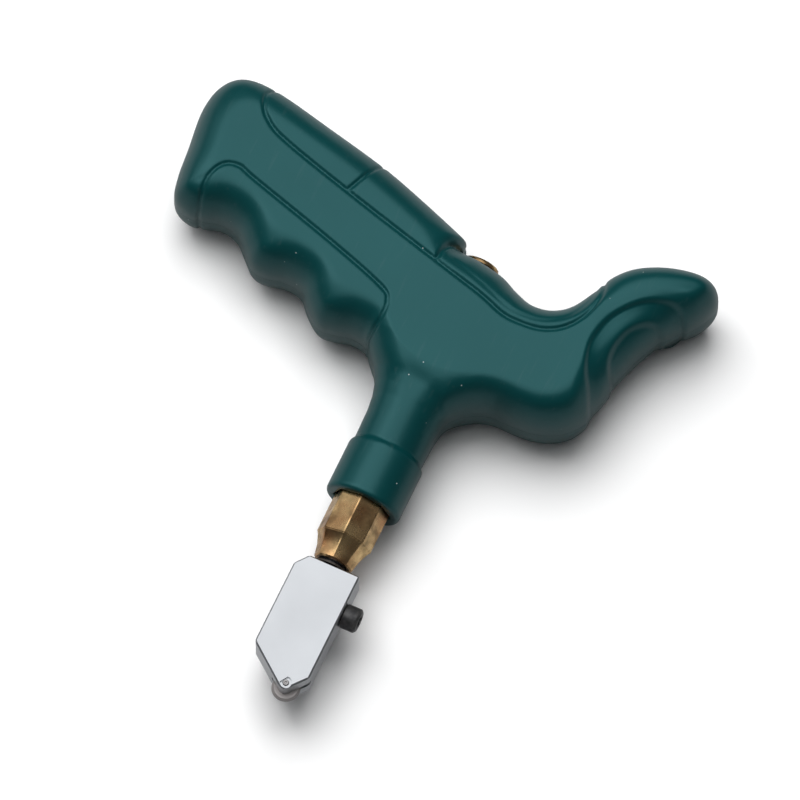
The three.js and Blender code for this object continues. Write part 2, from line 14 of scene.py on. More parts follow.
import bpy
import numpy as np
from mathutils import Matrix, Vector


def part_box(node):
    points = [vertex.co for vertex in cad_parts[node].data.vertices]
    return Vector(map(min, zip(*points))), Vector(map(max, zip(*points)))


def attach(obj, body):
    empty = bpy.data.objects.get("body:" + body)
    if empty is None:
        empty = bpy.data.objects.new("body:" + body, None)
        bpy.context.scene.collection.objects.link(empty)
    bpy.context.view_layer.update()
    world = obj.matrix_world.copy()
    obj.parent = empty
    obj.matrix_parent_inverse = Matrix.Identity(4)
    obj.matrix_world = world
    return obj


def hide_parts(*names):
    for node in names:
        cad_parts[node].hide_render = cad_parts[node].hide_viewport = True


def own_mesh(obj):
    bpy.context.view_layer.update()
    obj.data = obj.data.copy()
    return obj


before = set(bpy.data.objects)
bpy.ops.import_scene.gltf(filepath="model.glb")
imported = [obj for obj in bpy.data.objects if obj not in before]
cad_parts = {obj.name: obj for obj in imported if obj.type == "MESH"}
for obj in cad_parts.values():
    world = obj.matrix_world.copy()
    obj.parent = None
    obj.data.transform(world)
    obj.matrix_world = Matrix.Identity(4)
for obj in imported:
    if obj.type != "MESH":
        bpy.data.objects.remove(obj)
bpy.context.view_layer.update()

LOG = logging.getLogger("glass_cutter")
MM = 0.001
SHELL_SCREWS = tuple(f"shell_screw_{number}" for number in range(1, 5))
# Sides of the barrel and of the screw's socket.
OCTAGON = 8
HEXAGON = 6
# Steps between two given points of a drawn curve.
CURVE_STEPS = 8
# How far a cutting shape runs past the surface that it opens, in millimetres.
PAST = 1.0
# The least divisors for a length, a squared length and a squared slope.
LEAST_LENGTH = 1e-9
LEAST_SQUARE = 1e-12
LEAST_SLOPE = 0.05

Colour = tuple[float, float, float]
Point2 = tuple[float, float]
# Rows of distances along and across that round an end or a corner, from its first point to its last.
Profile = tuple[tuple[float, ...], ...]
Faces = list[list[int]]


def box_mm(node: str) -> tuple[np.ndarray, np.ndarray]:
    """Gives a node's box in millimetres about the barrel's axis.

    Args:
        node: Name of the node.

    Returns:
        The lowest and the highest corner.
    """
    low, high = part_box(node)
    lift = np.array((0.0, 0.0, AXIS_HEIGHT))
    return (np.array(low) - lift) / MM, (np.array(high) - lift) / MM


BARREL_LOW, BARREL_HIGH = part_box("oil_barrel")
AXIS_HEIGHT = (BARREL_LOW.z + BARREL_HIGH.z) / 2
BARREL_FLAT = (box_mm("oil_barrel")[1][0] - box_mm("oil_barrel")[0][0]) / 2 * math.cos(math.pi / OCTAGON)


class Axis(Enum):
    """The direction that a turned piece is turned about."""

    X = 0
    Y = 1
    Z = 2


class Side(Enum):
    """Which half of the handle a shell is."""

    UPPER = 1
    LOWER = -1


# ------------------------------------------------------------------------------------------------ shaders


class NodeTree:
    """A short way to add and join the nodes of a material or a group."""

    def __init__(self, tree: bpy.types.NodeTree) -> None:
        """Keeps the tree that nodes go to."""
        self.tree = tree

    def add(self, kind: str, values: dict | None = None, **settings: object) -> bpy.types.Node:
        """Adds one node.

        Args:
            kind: Node type, without its ShaderNode prefix.
            values: Input name or number, to a constant or to the socket that drives it.
            settings: Properties of the node itself.

        Returns:
            The new node.
        """
        node = self.tree.nodes.new(f"ShaderNode{kind}")
        for name, value in settings.items():
            setattr(node, name, value)
        for key, value in (values or {}).items():
            if isinstance(value, bpy.types.NodeSocket):
                self.tree.links.new(value, node.inputs[key])
            else:
                node.inputs[key].default_value = value
        return node

    def math(self, operation: str, first: object, second: object = 0.0) -> bpy.types.NodeSocket:
        """Adds a Math node.

        Args:
            operation: What the node does.
            first: Constant or socket.
            second: Constant or socket.

        Returns:
            The result's socket.
        """
        return self.add("Math", {0: first, 1: second}, operation=operation).outputs[0]

    def map(
        self, value: object, low: float, high: float, to_low: float, to_high: float
    ) -> bpy.types.NodeSocket:
        """Adds a clamped Map Range node.

        Args:
            value: What is mapped.
            low: Value that becomes to_low.
            high: Value that becomes to_high.
            to_low: First end of the result.
            to_high: Other end of the result.

        Returns:
            The mapped value's socket.
        """
        ends = {"Value": value, "From Min": low, "From Max": high, "To Min": to_low, "To Max": to_high}
        return self.add("MapRange", ends).outputs["Result"]

    def mix(self, share: object, first: object, second: object) -> bpy.types.NodeSocket:
        """Mixes two colours.

        Args:
            share: How much of the second colour shows, from 0 to 1.
            first: Colour or socket.
            second: Colour or socket.

        Returns:
            The mixed colour's socket.
        """
        node = self.add("Mix", {"Factor": share}, data_type="RGBA")
        for index, value in ((6, first), (7, second)):
            if isinstance(value, bpy.types.NodeSocket):
                self.tree.links.new(value, node.inputs[index])
            else:
                node.inputs[index].default_value = (*value, 1.0)
        return node.outputs[2]


class EffectGroups:
    """The effects that several finishes share, each built once as a node group."""

    def __init__(self) -> None:
        """Builds every group."""
        self.mottle = self._mottle()
        self.specks = self._specks()
        self.scratches = self._scratches()
        self.edge_wear_and_highlight = self._edge_wear_and_highlight()

    @staticmethod
    def _start(
        name: str, inputs: Sequence[tuple[str, float]], outputs: Sequence[str]
    ) -> tuple[bpy.types.NodeTree, NodeTree, bpy.types.Node, bpy.types.Node]:
        """Makes an empty group with float sockets.

        Args:
            name: Name of the group.
            inputs: Name and default of each input.
            outputs: Name of each output.

        Returns:
            The node tree, its helper, its input node and its output node.
        """
        tree = bpy.data.node_groups.new(name, "ShaderNodeTree")
        for label, default in inputs:
            socket = tree.interface.new_socket(label, in_out="INPUT", socket_type="NodeSocketFloat")
            socket.default_value = default
        for label in outputs:
            tree.interface.new_socket(label, in_out="OUTPUT", socket_type="NodeSocketFloat")
        return tree, NodeTree(tree), tree.nodes.new("NodeGroupInput"), tree.nodes.new("NodeGroupOutput")

    def _mottle(self) -> bpy.types.NodeTree:
        """Builds soft patches of two sizes, from 0 to 1."""
        inputs = [("Scale", 60.0), ("Sharpness", 0.3)]
        tree, nodes, given, result = self._start("Mottle", inputs, ["Patches"])
        place = nodes.add("TexCoord").outputs["Object"]
        noise = nodes.add("TexNoise", {"Vector": place, "Scale": given.outputs["Scale"], "Detail": 4.0})
        low = nodes.math("SUBTRACT", 0.5, given.outputs["Sharpness"])
        high = nodes.math("ADD", 0.5, given.outputs["Sharpness"])
        ends = {"Value": noise.outputs[0], "From Min": low, "From Max": high}
        mapped = nodes.add("MapRange", ends)
        tree.links.new(mapped.outputs["Result"], result.inputs["Patches"])
        return tree

    def _specks(self) -> bpy.types.NodeTree:
        """Builds small round specks scattered over the surface."""
        inputs = [("Scale", 300.0), ("Share", 0.02), ("Radius", 0.2)]
        tree, nodes, given, result = self._start("Specks", inputs, ["Mask"])
        place = nodes.add("TexCoord").outputs["Object"]
        cells = nodes.add("TexVoronoi", {"Vector": place, "Scale": given.outputs["Scale"]})
        luck = nodes.add("SeparateColor", {0: cells.outputs["Color"]}).outputs[0]
        chosen = nodes.math("LESS_THAN", luck, given.outputs["Share"])
        solid_share = 0.6
        core = nodes.math("MULTIPLY", given.outputs["Radius"], solid_share)
        ends = {"Value": cells.outputs["Distance"], "From Min": given.outputs["Radius"], "From Max": core}
        spot = nodes.add("MapRange", ends).outputs["Result"]
        tree.links.new(nodes.math("MULTIPLY", chosen, spot), result.inputs["Mask"])
        return tree

    def _scratches(self) -> bpy.types.NodeTree:
        """Builds fine scratches that run along the barrel's axis."""
        inputs = [("Across", 2500.0), ("Along", 60.0), ("Share", 0.35)]
        tree, nodes, given, result = self._start("Scratches", inputs, ["Lines", "Mask"])
        place = nodes.add("TexCoord").outputs["Object"]
        scale = nodes.add(
            "CombineXYZ",
            {0: given.outputs["Across"], 1: given.outputs["Along"], 2: given.outputs["Across"]},
        ).outputs[0]
        stretched = nodes.add("VectorMath", {0: place, 1: scale}, operation="MULTIPLY").outputs[0]
        noise = nodes.add("TexNoise", {"Vector": stretched, "Scale": 1.0, "Detail": 3.0}).outputs[0]
        softness = 0.1
        high = nodes.math("ADD", given.outputs["Share"], softness)
        ends = {"Value": noise, "From Min": high, "From Max": given.outputs["Share"]}
        mask = nodes.add("MapRange", ends).outputs["Result"]
        tree.links.new(noise, result.inputs["Lines"])
        tree.links.new(mask, result.inputs["Mask"])
        return tree

    def _edge_wear_and_highlight(self) -> bpy.types.NodeTree:
        """Builds a mask of the convex edges, broken up by noise, for edge wear and for painted edge
        highlights.
        """
        inputs = [("Start", 0.52), ("End", 0.58), ("Breakup", 400.0)]
        tree, nodes, given, result = self._start("Edge wear and highlight", inputs, ["Mask"])
        edge = nodes.add("NewGeometry").outputs["Pointiness"]
        place = nodes.add("TexCoord").outputs["Object"]
        ends = {"Value": edge, "From Min": given.outputs["Start"], "From Max": given.outputs["End"]}
        worn = nodes.add("MapRange", ends).outputs["Result"]
        noise = nodes.add("TexNoise", {"Vector": place, "Scale": given.outputs["Breakup"], "Detail": 3.0})
        broken = nodes.map(noise.outputs[0], 0.35, 0.65, 0.2, 1.0)
        tree.links.new(nodes.math("MULTIPLY", worn, broken), result.inputs["Mask"])
        return tree


EFFECTS = EffectGroups()


@dataclass(frozen=True)
class Finish:
    """What every finish shares: a named material with one Principled shader."""

    name: str
    colour: Colour
    roughness: float

    def _open(self, **sockets: float) -> tuple[bpy.types.Material, NodeTree, bpy.types.Node]:
        """Makes the material and its Principled shader.

        Args:
            sockets: Constants for the shader, with underscores for spaces.

        Returns:
            The material, its node helper and the shader node.
        """
        material = bpy.data.materials.new(self.name)
        material.use_nodes = True
        nodes = NodeTree(material.node_tree)
        shader = material.node_tree.nodes["Principled BSDF"]
        shader.inputs["Base Color"].default_value = (*self.colour, 1.0)
        shader.inputs["Roughness"].default_value = self.roughness
        for label, value in sockets.items():
            shader.inputs[label.replace("_", " ")].default_value = value
        material.diffuse_color = (*self.colour, 1.0)
        return material, nodes, shader

    @staticmethod
    def _effect(
        nodes: NodeTree, group: bpy.types.NodeTree, output: str, **values: float
    ) -> bpy.types.NodeSocket:
        """Places an effect group in a material.

        Args:
            nodes: The material's node helper.
            group: The effect's node tree.
            output: Which of its outputs is wanted.
            values: Values of its inputs.

        Returns:
            The wanted output's socket.
        """
        node = nodes.tree.nodes.new("ShaderNodeGroup")
        node.node_tree = group
        for label, value in values.items():
            node.inputs[label].default_value = value
        return node.outputs[output]

    def _roughen(self, nodes: NodeTree, shader: bpy.types.Node, mask: object, amount: float) -> None:
        """Makes the shader rougher where a mask shows.

        Args:
            nodes: The material's node helper.
            shader: The shader that gets the roughness.
            mask: Socket from 0 to 1.
            amount: How much is added where the mask is 1.
        """
        rough = nodes.math("ADD", nodes.math("MULTIPLY", mask, amount), self.roughness)
        nodes.tree.links.new(rough, shader.inputs["Roughness"])

    @staticmethod
    def _bump(
        nodes: NodeTree, shader: bpy.types.Node, height: object, strength: float, depth: float
    ) -> None:
        """Bends the shader's normal by a height.

        Args:
            nodes: The material's node helper.
            shader: The shader that gets the normal.
            height: Socket with the height.
            strength: Strength of the Bump node.
            depth: Its distance, in metres.
        """
        bump = nodes.add("Bump", {"Height": height, "Strength": strength, "Distance": depth})
        nodes.tree.links.new(bump.outputs["Normal"], shader.inputs["Normal"])


@dataclass(frozen=True)
class MouldedPlastic(Finish):
    """Satin moulded plastic with a fine grain, faint flow patches, light scuffs and a few pale specks."""

    deep_colour: Colour = (0.0006, 0.033, 0.035)
    speck_colour: Colour = (0.45, 0.5, 0.5)
    sheen: Colour = (0.42, 0.95, 1.0)
    grain: float = 2600.0
    scuff_paleness: float = 0.015
    scuff_roughness: float = 0.06
    patch_roughness: float = 0.05

    def material(self) -> bpy.types.Material:
        """Builds the material."""
        material, nodes, shader = self._open(Specular_IOR_Level=0.65)
        shader.inputs["Specular Tint"].default_value = (*self.sheen, 1.0)
        patches = self._effect(nodes, EFFECTS.mottle, "Patches", Scale=45.0, Sharpness=0.35)
        specks = self._effect(nodes, EFFECTS.specks, "Mask", Scale=520.0, Share=0.05, Radius=0.09)
        scuffs = self._effect(nodes, EFFECTS.scratches, "Mask", Across=900.0, Along=90.0, Share=0.28)
        body = nodes.mix(patches, self.colour, self.deep_colour)
        paleness = nodes.math("MULTIPLY", scuffs, self.scuff_paleness)
        scuffed = nodes.mix(paleness, body, self.speck_colour)
        speckled = nodes.mix(specks, scuffed, self.speck_colour)
        nodes.tree.links.new(speckled, shader.inputs["Base Color"])
        place = nodes.add("TexCoord").outputs["Object"]
        grain = nodes.add("TexNoise", {"Vector": place, "Scale": self.grain, "Detail": 2.0}).outputs[0]
        rubbed = nodes.math("MULTIPLY", scuffs, self.scuff_roughness)
        worn = nodes.math("ADD", rubbed, nodes.math("MULTIPLY", patches, self.patch_roughness))
        rough = nodes.math("ADD", worn, self.roughness)
        nodes.tree.links.new(rough, shader.inputs["Roughness"])
        self._bump(nodes, shader, grain, strength=0.12, depth=0.00005)
        return material


@dataclass(frozen=True)
class TarnishedBrass(Finish):
    """Milled brass, bright on some patches and brown or reddish on others."""

    brown: Colour = (0.10, 0.06, 0.03)
    red: Colour = (0.42, 0.19, 0.08)
    tarnish: float = 0.95
    brown_share: float = 0.7

    def material(self) -> bpy.types.Material:
        """Builds the material."""
        material, nodes, shader = self._open(Metallic=1.0)
        patches = self._effect(nodes, EFFECTS.mottle, "Patches", Scale=420.0, Sharpness=0.16)
        broad = self._effect(nodes, EFFECTS.mottle, "Patches", Scale=130.0, Sharpness=0.15)
        lines = self._effect(nodes, EFFECTS.scratches, "Lines", Across=2200.0, Along=150.0)
        stain = nodes.math("MULTIPLY", nodes.math("MULTIPLY", patches, self.brown_share), self.tarnish)
        blush = nodes.math("MULTIPLY", broad, self.tarnish)
        blushed = nodes.mix(blush, self.colour, self.red)
        nodes.tree.links.new(nodes.mix(stain, blushed, self.brown), shader.inputs["Base Color"])
        self._roughen(nodes, shader, patches, 0.14)
        self._bump(nodes, shader, lines, strength=0.12, depth=0.00003)
        return material


@dataclass(frozen=True)
class PolishedSteel(Finish):
    """Ground and plated steel with faint grinding lines along the head."""

    line_strength: float = 0.06
    haze_shade: float = 0.93

    def material(self) -> bpy.types.Material:
        """Builds the material."""
        material, nodes, shader = self._open(Metallic=1.0)
        lines = self._effect(nodes, EFFECTS.scratches, "Lines", Across=3500.0, Along=40.0)
        haze = self._effect(nodes, EFFECTS.mottle, "Patches", Scale=90.0, Sharpness=0.3)
        self._roughen(nodes, shader, haze, 0.05)
        darker = tuple(self.haze_shade * value for value in self.colour)
        nodes.tree.links.new(nodes.mix(haze, self.colour, darker), shader.inputs["Base Color"])
        self._bump(nodes, shader, lines, self.line_strength, depth=0.00003)
        return material


@dataclass(frozen=True)
class BlackOxide(Finish):
    """Black-oxide screw steel, paler on its convex edges: partly bare metal where they are rubbed, partly
    a painted highlight on the chamfered rims.
    """

    # Colour and share of the paler edges: rubbed bare metal plus a painted highlight.
    bare_metal_and_highlight: Colour = (0.30, 0.29, 0.28)
    rubbing_and_highlight: float = 0.8

    def material(self) -> bpy.types.Material:
        """Builds the material."""
        material, nodes, shader = self._open(Metallic=0.6)
        # Paler convex edges: rubbed bare metal and a painted highlight on the head's chamfers and the
        # socket's rim.
        edge_mask = self._effect(nodes, EFFECTS.edge_wear_and_highlight, "Mask", Start=0.52, End=0.60, Breakup=900.0)
        patches = self._effect(nodes, EFFECTS.mottle, "Patches", Scale=700.0, Sharpness=0.25)
        rubbed = nodes.mix(nodes.math("MULTIPLY", edge_mask, self.rubbing_and_highlight), self.colour, self.bare_metal_and_highlight)
        nodes.tree.links.new(rubbed, shader.inputs["Base Color"])
        self._roughen(nodes, shader, patches, 0.12)
        self._bump(nodes, shader, patches, strength=0.15, depth=0.00002)
        return material


@dataclass(frozen=True)
class GroundMetal(Finish):
    """Metal ground in circles about one point, as on the cutting wheel."""

    centre: tuple[float, float, float] = (0.0, 0.0, 0.0)
    dark: Colour = (0.27, 0.25, 0.245)
    dark_share: float = 0.6

    def material(self) -> bpy.types.Material:
        """Builds the material."""
        material, nodes, shader = self._open(Metallic=0.5)
        place = nodes.add("TexCoord").outputs["Object"]
        offset = nodes.add("VectorMath", {0: place, 1: self.centre}, operation="DISTANCE").outputs["Value"]
        noise = nodes.add("TexNoise", {"W": offset, "Scale": 9000.0, "Detail": 2.0}, noise_dimensions="1D")
        rings = noise.outputs[0]
        patches = self._effect(nodes, EFFECTS.mottle, "Patches", Scale=500.0, Sharpness=0.3)
        shade = nodes.math("MULTIPLY", patches, self.dark_share)
        nodes.tree.links.new(nodes.mix(shade, self.colour, self.dark), shader.inputs["Base Color"])
        self._roughen(nodes, shader, rings, 0.15)
        self._bump(nodes, shader, rings, strength=0.2, depth=0.00002)
        return material


@dataclass(frozen=True)
class PlainMetal(Finish):
    """Plain turned or drawn steel for screws, rings, the spring and the stem."""

    stain_shade: float = 0.75
    wear_shade: float = 1.25

    def material(self) -> bpy.types.Material:
        """Builds the material."""
        material, nodes, shader = self._open(Metallic=1.0)
        patches = self._effect(nodes, EFFECTS.mottle, "Patches", Scale=400.0, Sharpness=0.3)
        edge_mask = self._effect(nodes, EFFECTS.edge_wear_and_highlight, "Mask")
        lines = self._effect(nodes, EFFECTS.scratches, "Lines", Across=1500.0, Along=1500.0)
        darker = tuple(self.stain_shade * value for value in self.colour)
        brighter = tuple(min(1.0, self.wear_shade * value) for value in self.colour)
        stained = nodes.mix(patches, self.colour, darker)
        nodes.tree.links.new(nodes.mix(edge_mask, stained, brighter), shader.inputs["Base Color"])
        self._roughen(nodes, shader, patches, 0.12)
        self._bump(nodes, shader, lines, strength=0.1, depth=0.00002)
        return material


@dataclass(frozen=True)
class SoftMaterial(Finish):
    """Rubber, nylon or felt: no metal, with a grain of its own size and depth."""

    grain: float = 2500.0
    grain_strength: float = 0.3
    variation: float = 0.7
    patch_size: float = 6.0
    roughness_change: float = 0.06

    def material(self) -> bpy.types.Material:
        """Builds the material."""
        material, nodes, shader = self._open()
        scale = self.grain / self.patch_size
        patches = self._effect(nodes, EFFECTS.mottle, "Patches", Scale=scale, Sharpness=0.3)
        other = tuple(self.variation * value for value in self.colour)
        nodes.tree.links.new(nodes.mix(patches, self.colour, other), shader.inputs["Base Color"])
        place = nodes.add("TexCoord").outputs["Object"]
        grain = nodes.add("TexNoise", {"Vector": place, "Scale": self.grain, "Detail": 4.0}).outputs[0]
        smooth, coarse = (self.roughness + sign * self.roughness_change for sign in (-1, 1))
        rough = nodes.map(grain, 0.3, 0.7, smooth, coarse)
        nodes.tree.links.new(rough, shader.inputs["Roughness"])
        self._bump(nodes, shader, grain, self.grain_strength, depth=0.00006)
        return material


# ------------------------------------------------------------------------------------------------- meshes


def place_mesh(name: str, vertices: np.ndarray, faces: Faces) -> bpy.types.Mesh:
    """Makes a mesh from points about the barrel's axis.

    Args:
        name: Name of the mesh.
        vertices: Points in millimetres about the barrel's axis.
        faces: Corner numbers of each face.

    Returns:
        The mesh, in metres and at its place in the frame.
    """
    placed = np.asarray(vertices, float) * MM + np.array((0.0, 0.0, AXIS_HEIGHT))
    mesh = bpy.data.meshes.new(name)
    mesh.from_pydata(placed.tolist(), [], faces)
    return mesh


def add_object(name: str, data: bpy.types.ID) -> bpy.types.Object:
    """Puts an object with this data into the scene.

    Args:
        name: Name of the object.
        data: Its mesh, light or camera.

    Returns:
        The object.
    """
    added = bpy.data.objects.new(name, data)
    bpy.context.scene.collection.objects.link(added)
    return added


def make_piece(
    name: str,
    body: str,
    slot: str,
    material: bpy.types.Material,
    vertices: np.ndarray,
    faces: Faces,
    sharp_angle: float = 30.0,
) -> bpy.types.Object:
    """Makes a mesh piece that rides on a body.

    Args:
        name: Name of the piece.
        body: Body that it rides on.
        slot: Name of a material slot; not used.
        material: Its finish.
        vertices: Points in millimetres about the barrel's axis.
        faces: Corner numbers of each face.
        sharp_angle: Edges that turn more than this many degrees stay sharp.

    Returns:
        The piece.
    """
    mesh = place_mesh(name, vertices, faces)
    mesh.validate()
    mesh.materials.append(material)
    mesh.shade_smooth()
    mesh.set_sharp_from_angle(angle=math.radians(sharp_angle))
    piece = add_object(name, mesh)
    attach(piece, body)
    return piece


def apply_modifiers(piece: bpy.types.Object, sharp_angle: float) -> None:
    """Turns a piece's modifiers into its mesh.

    Args:
        piece: The piece.
        sharp_angle: Edges that turn more than this many degrees stay sharp.
    """
    graph = bpy.context.evaluated_depsgraph_get()
    final = bpy.data.meshes.new_from_object(piece.evaluated_get(graph))
    piece.modifiers.clear()
    piece.data = final
    final.shade_smooth()
    final.set_sharp_from_angle(angle=math.radians(sharp_angle))


def subtract(
    piece: bpy.types.Object, shapes: Sequence[tuple[np.ndarray, Faces]], sharp_angle: float = 30.0
) -> None:
    """Cuts closed shapes out of a piece, one after the other.

    Args:
        piece: The piece to cut.
        shapes: Points and faces of each shape, in millimetres about the barrel's axis.
        sharp_angle: Edges that turn more than this many degrees stay sharp.
    """
    tools = []
    for number, shape in enumerate(shapes):
        tool = add_object(f"tool_{number}", place_mesh(f"tool_{number}", *shape))
        cutter = piece.modifiers.new(f"cut_{number}", "BOOLEAN")
        cutter.operation = "DIFFERENCE"
        cutter.solver = "EXACT"
        cutter.object = tool
        tools.append(tool)
    apply_modifiers(piece, sharp_angle)
    for tool in tools:
        bpy.data.objects.remove(tool)


def bevel(piece: bpy.types.Object, width: float, segments: int = 4, angle: float = 30.0) -> None:
    """Rounds a piece's sharp edges.

    Args:
        piece: The piece.
        width: Width of the round, in millimetres.
        segments: Number of steps across it.
        angle: Only edges that turn more than this many degrees are rounded.
    """
    modifier = piece.modifiers.new("bevel", "BEVEL")
    modifier.width = width * MM
    modifier.segments = segments
    modifier.limit_method = "ANGLE"
    modifier.angle_limit = math.radians(angle)
    apply_modifiers(piece, sharp_angle=60.0)


def prism(outline: Sequence[Point2], low: float, high: float) -> tuple[np.ndarray, Faces]:
    """Gives a flat outline a thickness along Z.

    Args:
        outline: Anticlockwise points.
        low: Lower face's height.
        high: Upper face's height.

    Returns:
        Points and faces.
    """
    count = len(outline)
    vertices = [(x, y, z) for z in (low, high) for x, y in outline]
    faces = [list(range(count))[::-1], list(range(count, 2 * count))]
    faces += [[i, (i + 1) % count, count + (i + 1) % count, count + i] for i in range(count)]
    return np.array(vertices), faces


def arc(centre: Point2, radius: float, start: float, end: float, steps: int) -> list[Point2]:
    """Gives points on an arc.

    Args:
        centre: Middle of the arc.
        radius: Its radius.
        start: First angle, in degrees.
        end: Last angle, in degrees.
        steps: Number of stretches.

    Returns:
        The points, both ends included.
    """
    angles = np.radians(np.linspace(start, end, steps + 1))
    return [(centre[0] + radius * math.cos(a), centre[1] + radius * math.sin(a)) for a in angles]


@dataclass(frozen=True)
class Ring:
    """One section of a lofted bar: its place along the axis, its size and how round it is."""

    along: float
    radius: float
    sides: int = 0
    roundness: float = 0.0


def loft(
    rings: Sequence[Ring],
    axis: Axis,
    angles: np.ndarray,
    centre: Point2 = (0.0, 0.0),
    closed: bool = False,
) -> tuple[np.ndarray, Faces]:
    """Joins rings about an axis into one skin.

    Args:
        rings: Sections in order. With sides set, radius is to the middle of a flat.
        axis: Direction that the rings are stacked in.
        angles: Angles of the points round each ring, in radians.
        centre: Where the axis passes, in its two other coordinates.
        closed: Whether the last ring joins the first one. Otherwise both ends are capped.

    Returns:
        Points and faces.
    """
    count = len(angles)
    rows = []
    for ring in rings:
        radius = np.full(count, float(ring.radius))
        if ring.sides:
            step = 2 * math.pi / ring.sides
            from_flat = np.mod(angles, step) - step / 2
            radius = ring.radius * (ring.roundness + (1 - ring.roundness) / np.cos(from_flat))
        across = np.stack((radius * np.sin(angles), radius * np.cos(angles)))
        row = np.zeros((count, 3))
        row[:, axis.value] = ring.along
        first, second = [i for i in range(3) if i != axis.value]
        row[:, first] = across[0] + centre[0]
        row[:, second] = across[1] + centre[1]
        rows.append(row)
    total = len(rings)
    faces = []
    for i in range(total if closed else total - 1):
        here, there = i * count, (i + 1) % total * count
        for j in range(count):
            k = (j + 1) % count
            faces.append([here + j, here + k, there + k, there + j])
    if not closed:
        faces.append(list(range(count))[::-1])
        faces.append([(total - 1) * count + j for j in range(count)])
    if axis is not Axis.Y:
        faces = [face[::-1] for face in faces]
    return np.vstack(rows), faces


def even_angles(count: int) -> np.ndarray:
    """Gives evenly spaced angles for a round ring.

    Args:
        count: Number of points round the ring.

    Returns:
        The angles, in radians.
    """
    return np.linspace(0.0, 2 * math.pi, count, endpoint=False)


def mirrored(flank: Sequence[Point2], middle: Sequence[Ring] = ()) -> list[Ring]:
    """Gives the rings of a turned piece whose two sides are alike.

    Args:
        flank: Place along the axis and radius of each ring of the upper side, from the inside outwards.
        middle: Rings between the two sides.

    Returns:
        The rings, from the lowest side to the highest.
    """
    lower = [Ring(-along, radius) for along, radius in flank]
    upper = [Ring(along, radius) for along, radius in reversed(flank)]
    return [*lower, *middle, *upper]


def faceted_angles(sides: int, per_side: int, corner: float) -> np.ndarray:
    """Gives angles with two points at each corner, so that its edge is a narrow flat.

    Args:
        sides: Number of flats.
        per_side: Points across each flat.
        corner: Half the angle left to each corner, in degrees.

    Returns:
        The angles, in radians.
    """
    step = 360.0 / sides
    across = np.linspace(corner, step - corner, per_side)
    return np.radians(np.concatenate([across + i * step for i in range(sides)]))


# --------------------------------------------------------------------------------------- sculpted volumes


def through(points: Sequence[Point2]) -> np.ndarray:
    """Draws one smooth curve through points.

    Args:
        points: The points, in order.

    Returns:
        Points on the curve, both ends included.
    """
    knots = np.array(points, float)
    padded = np.vstack((knots[0], knots, knots[-1]))
    steps = np.linspace(0.0, 1.0, CURVE_STEPS, endpoint=False)[:, None]
    pieces = []
    for before, start, end, after in zip(padded, padded[1:], padded[2:], padded[3:]):
        go = (end - before) / 2
        stop = (after - start) / 2
        cubic = (2 * start - 2 * end + go + stop) * steps**3
        square = (3 * end - 3 * start - 2 * go - stop) * steps**2
        pieces.append(cubic + square + go * steps + start)
    return np.vstack((*pieces, knots[-1]))


def distance_to(line: np.ndarray, x: np.ndarray, y: np.ndarray) -> np.ndarray:
    """Measures the distance from a grid to a polyline.

    Args:
        line: Points of the polyline.
        x: Grid of x.
        y: Grid of y.

    Returns:
        Grid of distances.
    """
    nearest = np.full(x.shape, np.inf)
    for (ax, ay), (bx, by) in zip(line, line[1:]):
        dx, dy = bx - ax, by - ay
        square = max(dx * dx + dy * dy, LEAST_SQUARE)
        share = np.clip(((x - ax) * dx + (y - ay) * dy) / square, 0.0, 1.0)
        nearest = np.minimum(nearest, (x - ax - share * dx) ** 2 + (y - ay - share * dy) ** 2)
    return np.sqrt(nearest)


def signed_distance(outline: np.ndarray, x: np.ndarray, y: np.ndarray) -> np.ndarray:
    """Measures the distance from a grid to a closed outline, negative inside it.

    Args:
        outline: Points of the outline.
        x: Grid of x.
        y: Grid of y.

    Returns:
        Grid of signed distances.
    """
    line = np.vstack((outline, outline[:1]))
    inside = np.zeros(x.shape, bool)
    for (ax, ay), (bx, by) in zip(line, line[1:]):
        if ay != by:
            crosses = (ay > y) != (by > y)
            inside ^= crosses & (x < (bx - ax) * (y - ay) / (by - ay) + ax)
    return np.where(inside, -1.0, 1.0) * distance_to(line, x, y)


def blurred(grid: np.ndarray, sigma: float) -> np.ndarray:
    """Blurs a flat grid.

    Args:
        grid: The grid.
        sigma: Width of the blur, in cells.

    Returns:
        The blurred grid.
    """
    reach = int(3 * sigma) + 1
    kernel = np.exp(-0.5 * (np.arange(-reach, reach + 1) / sigma) ** 2)
    kernel /= kernel.sum()
    wide = np.pad(grid, reach, mode="edge")
    wide = np.apply_along_axis(np.convolve, 0, wide, kernel, "valid")
    return np.apply_along_axis(np.convolve, 1, wide, kernel, "valid")


def ease(value: np.ndarray, low: float, high: float) -> np.ndarray:
    """Rises smoothly from 0 to 1.

    Args:
        value: Grid of values.
        low: Value where the rise starts.
        high: Value where it ends.

    Returns:
        Grid of shares.
    """
    share = np.clip((value - low) / (high - low), 0.0, 1.0)
    return share * share * (3 - 2 * share)


def soft_union(first: np.ndarray, second: np.ndarray, radius: float) -> np.ndarray:
    """Joins two fields with a fillet.

    Args:
        first: One field.
        second: The other field.
        radius: About the fillet's radius.

    Returns:
        The joined field.
    """
    share = np.clip(0.5 + 0.5 * (second - first) / radius, 0.0, 1.0)
    return second + (first - second) * share - radius * share * (1 - share)


def soft_cut(body: np.ndarray, tool: np.ndarray, radius: float) -> np.ndarray:
    """Takes a field out of another one and rounds the edge that this leaves.

    Args:
        body: The field that is cut.
        tool: The field that is taken out.
        radius: About the edge's radius.

    Returns:
        The cut field.
    """
    return -soft_union(-body, tool, radius)


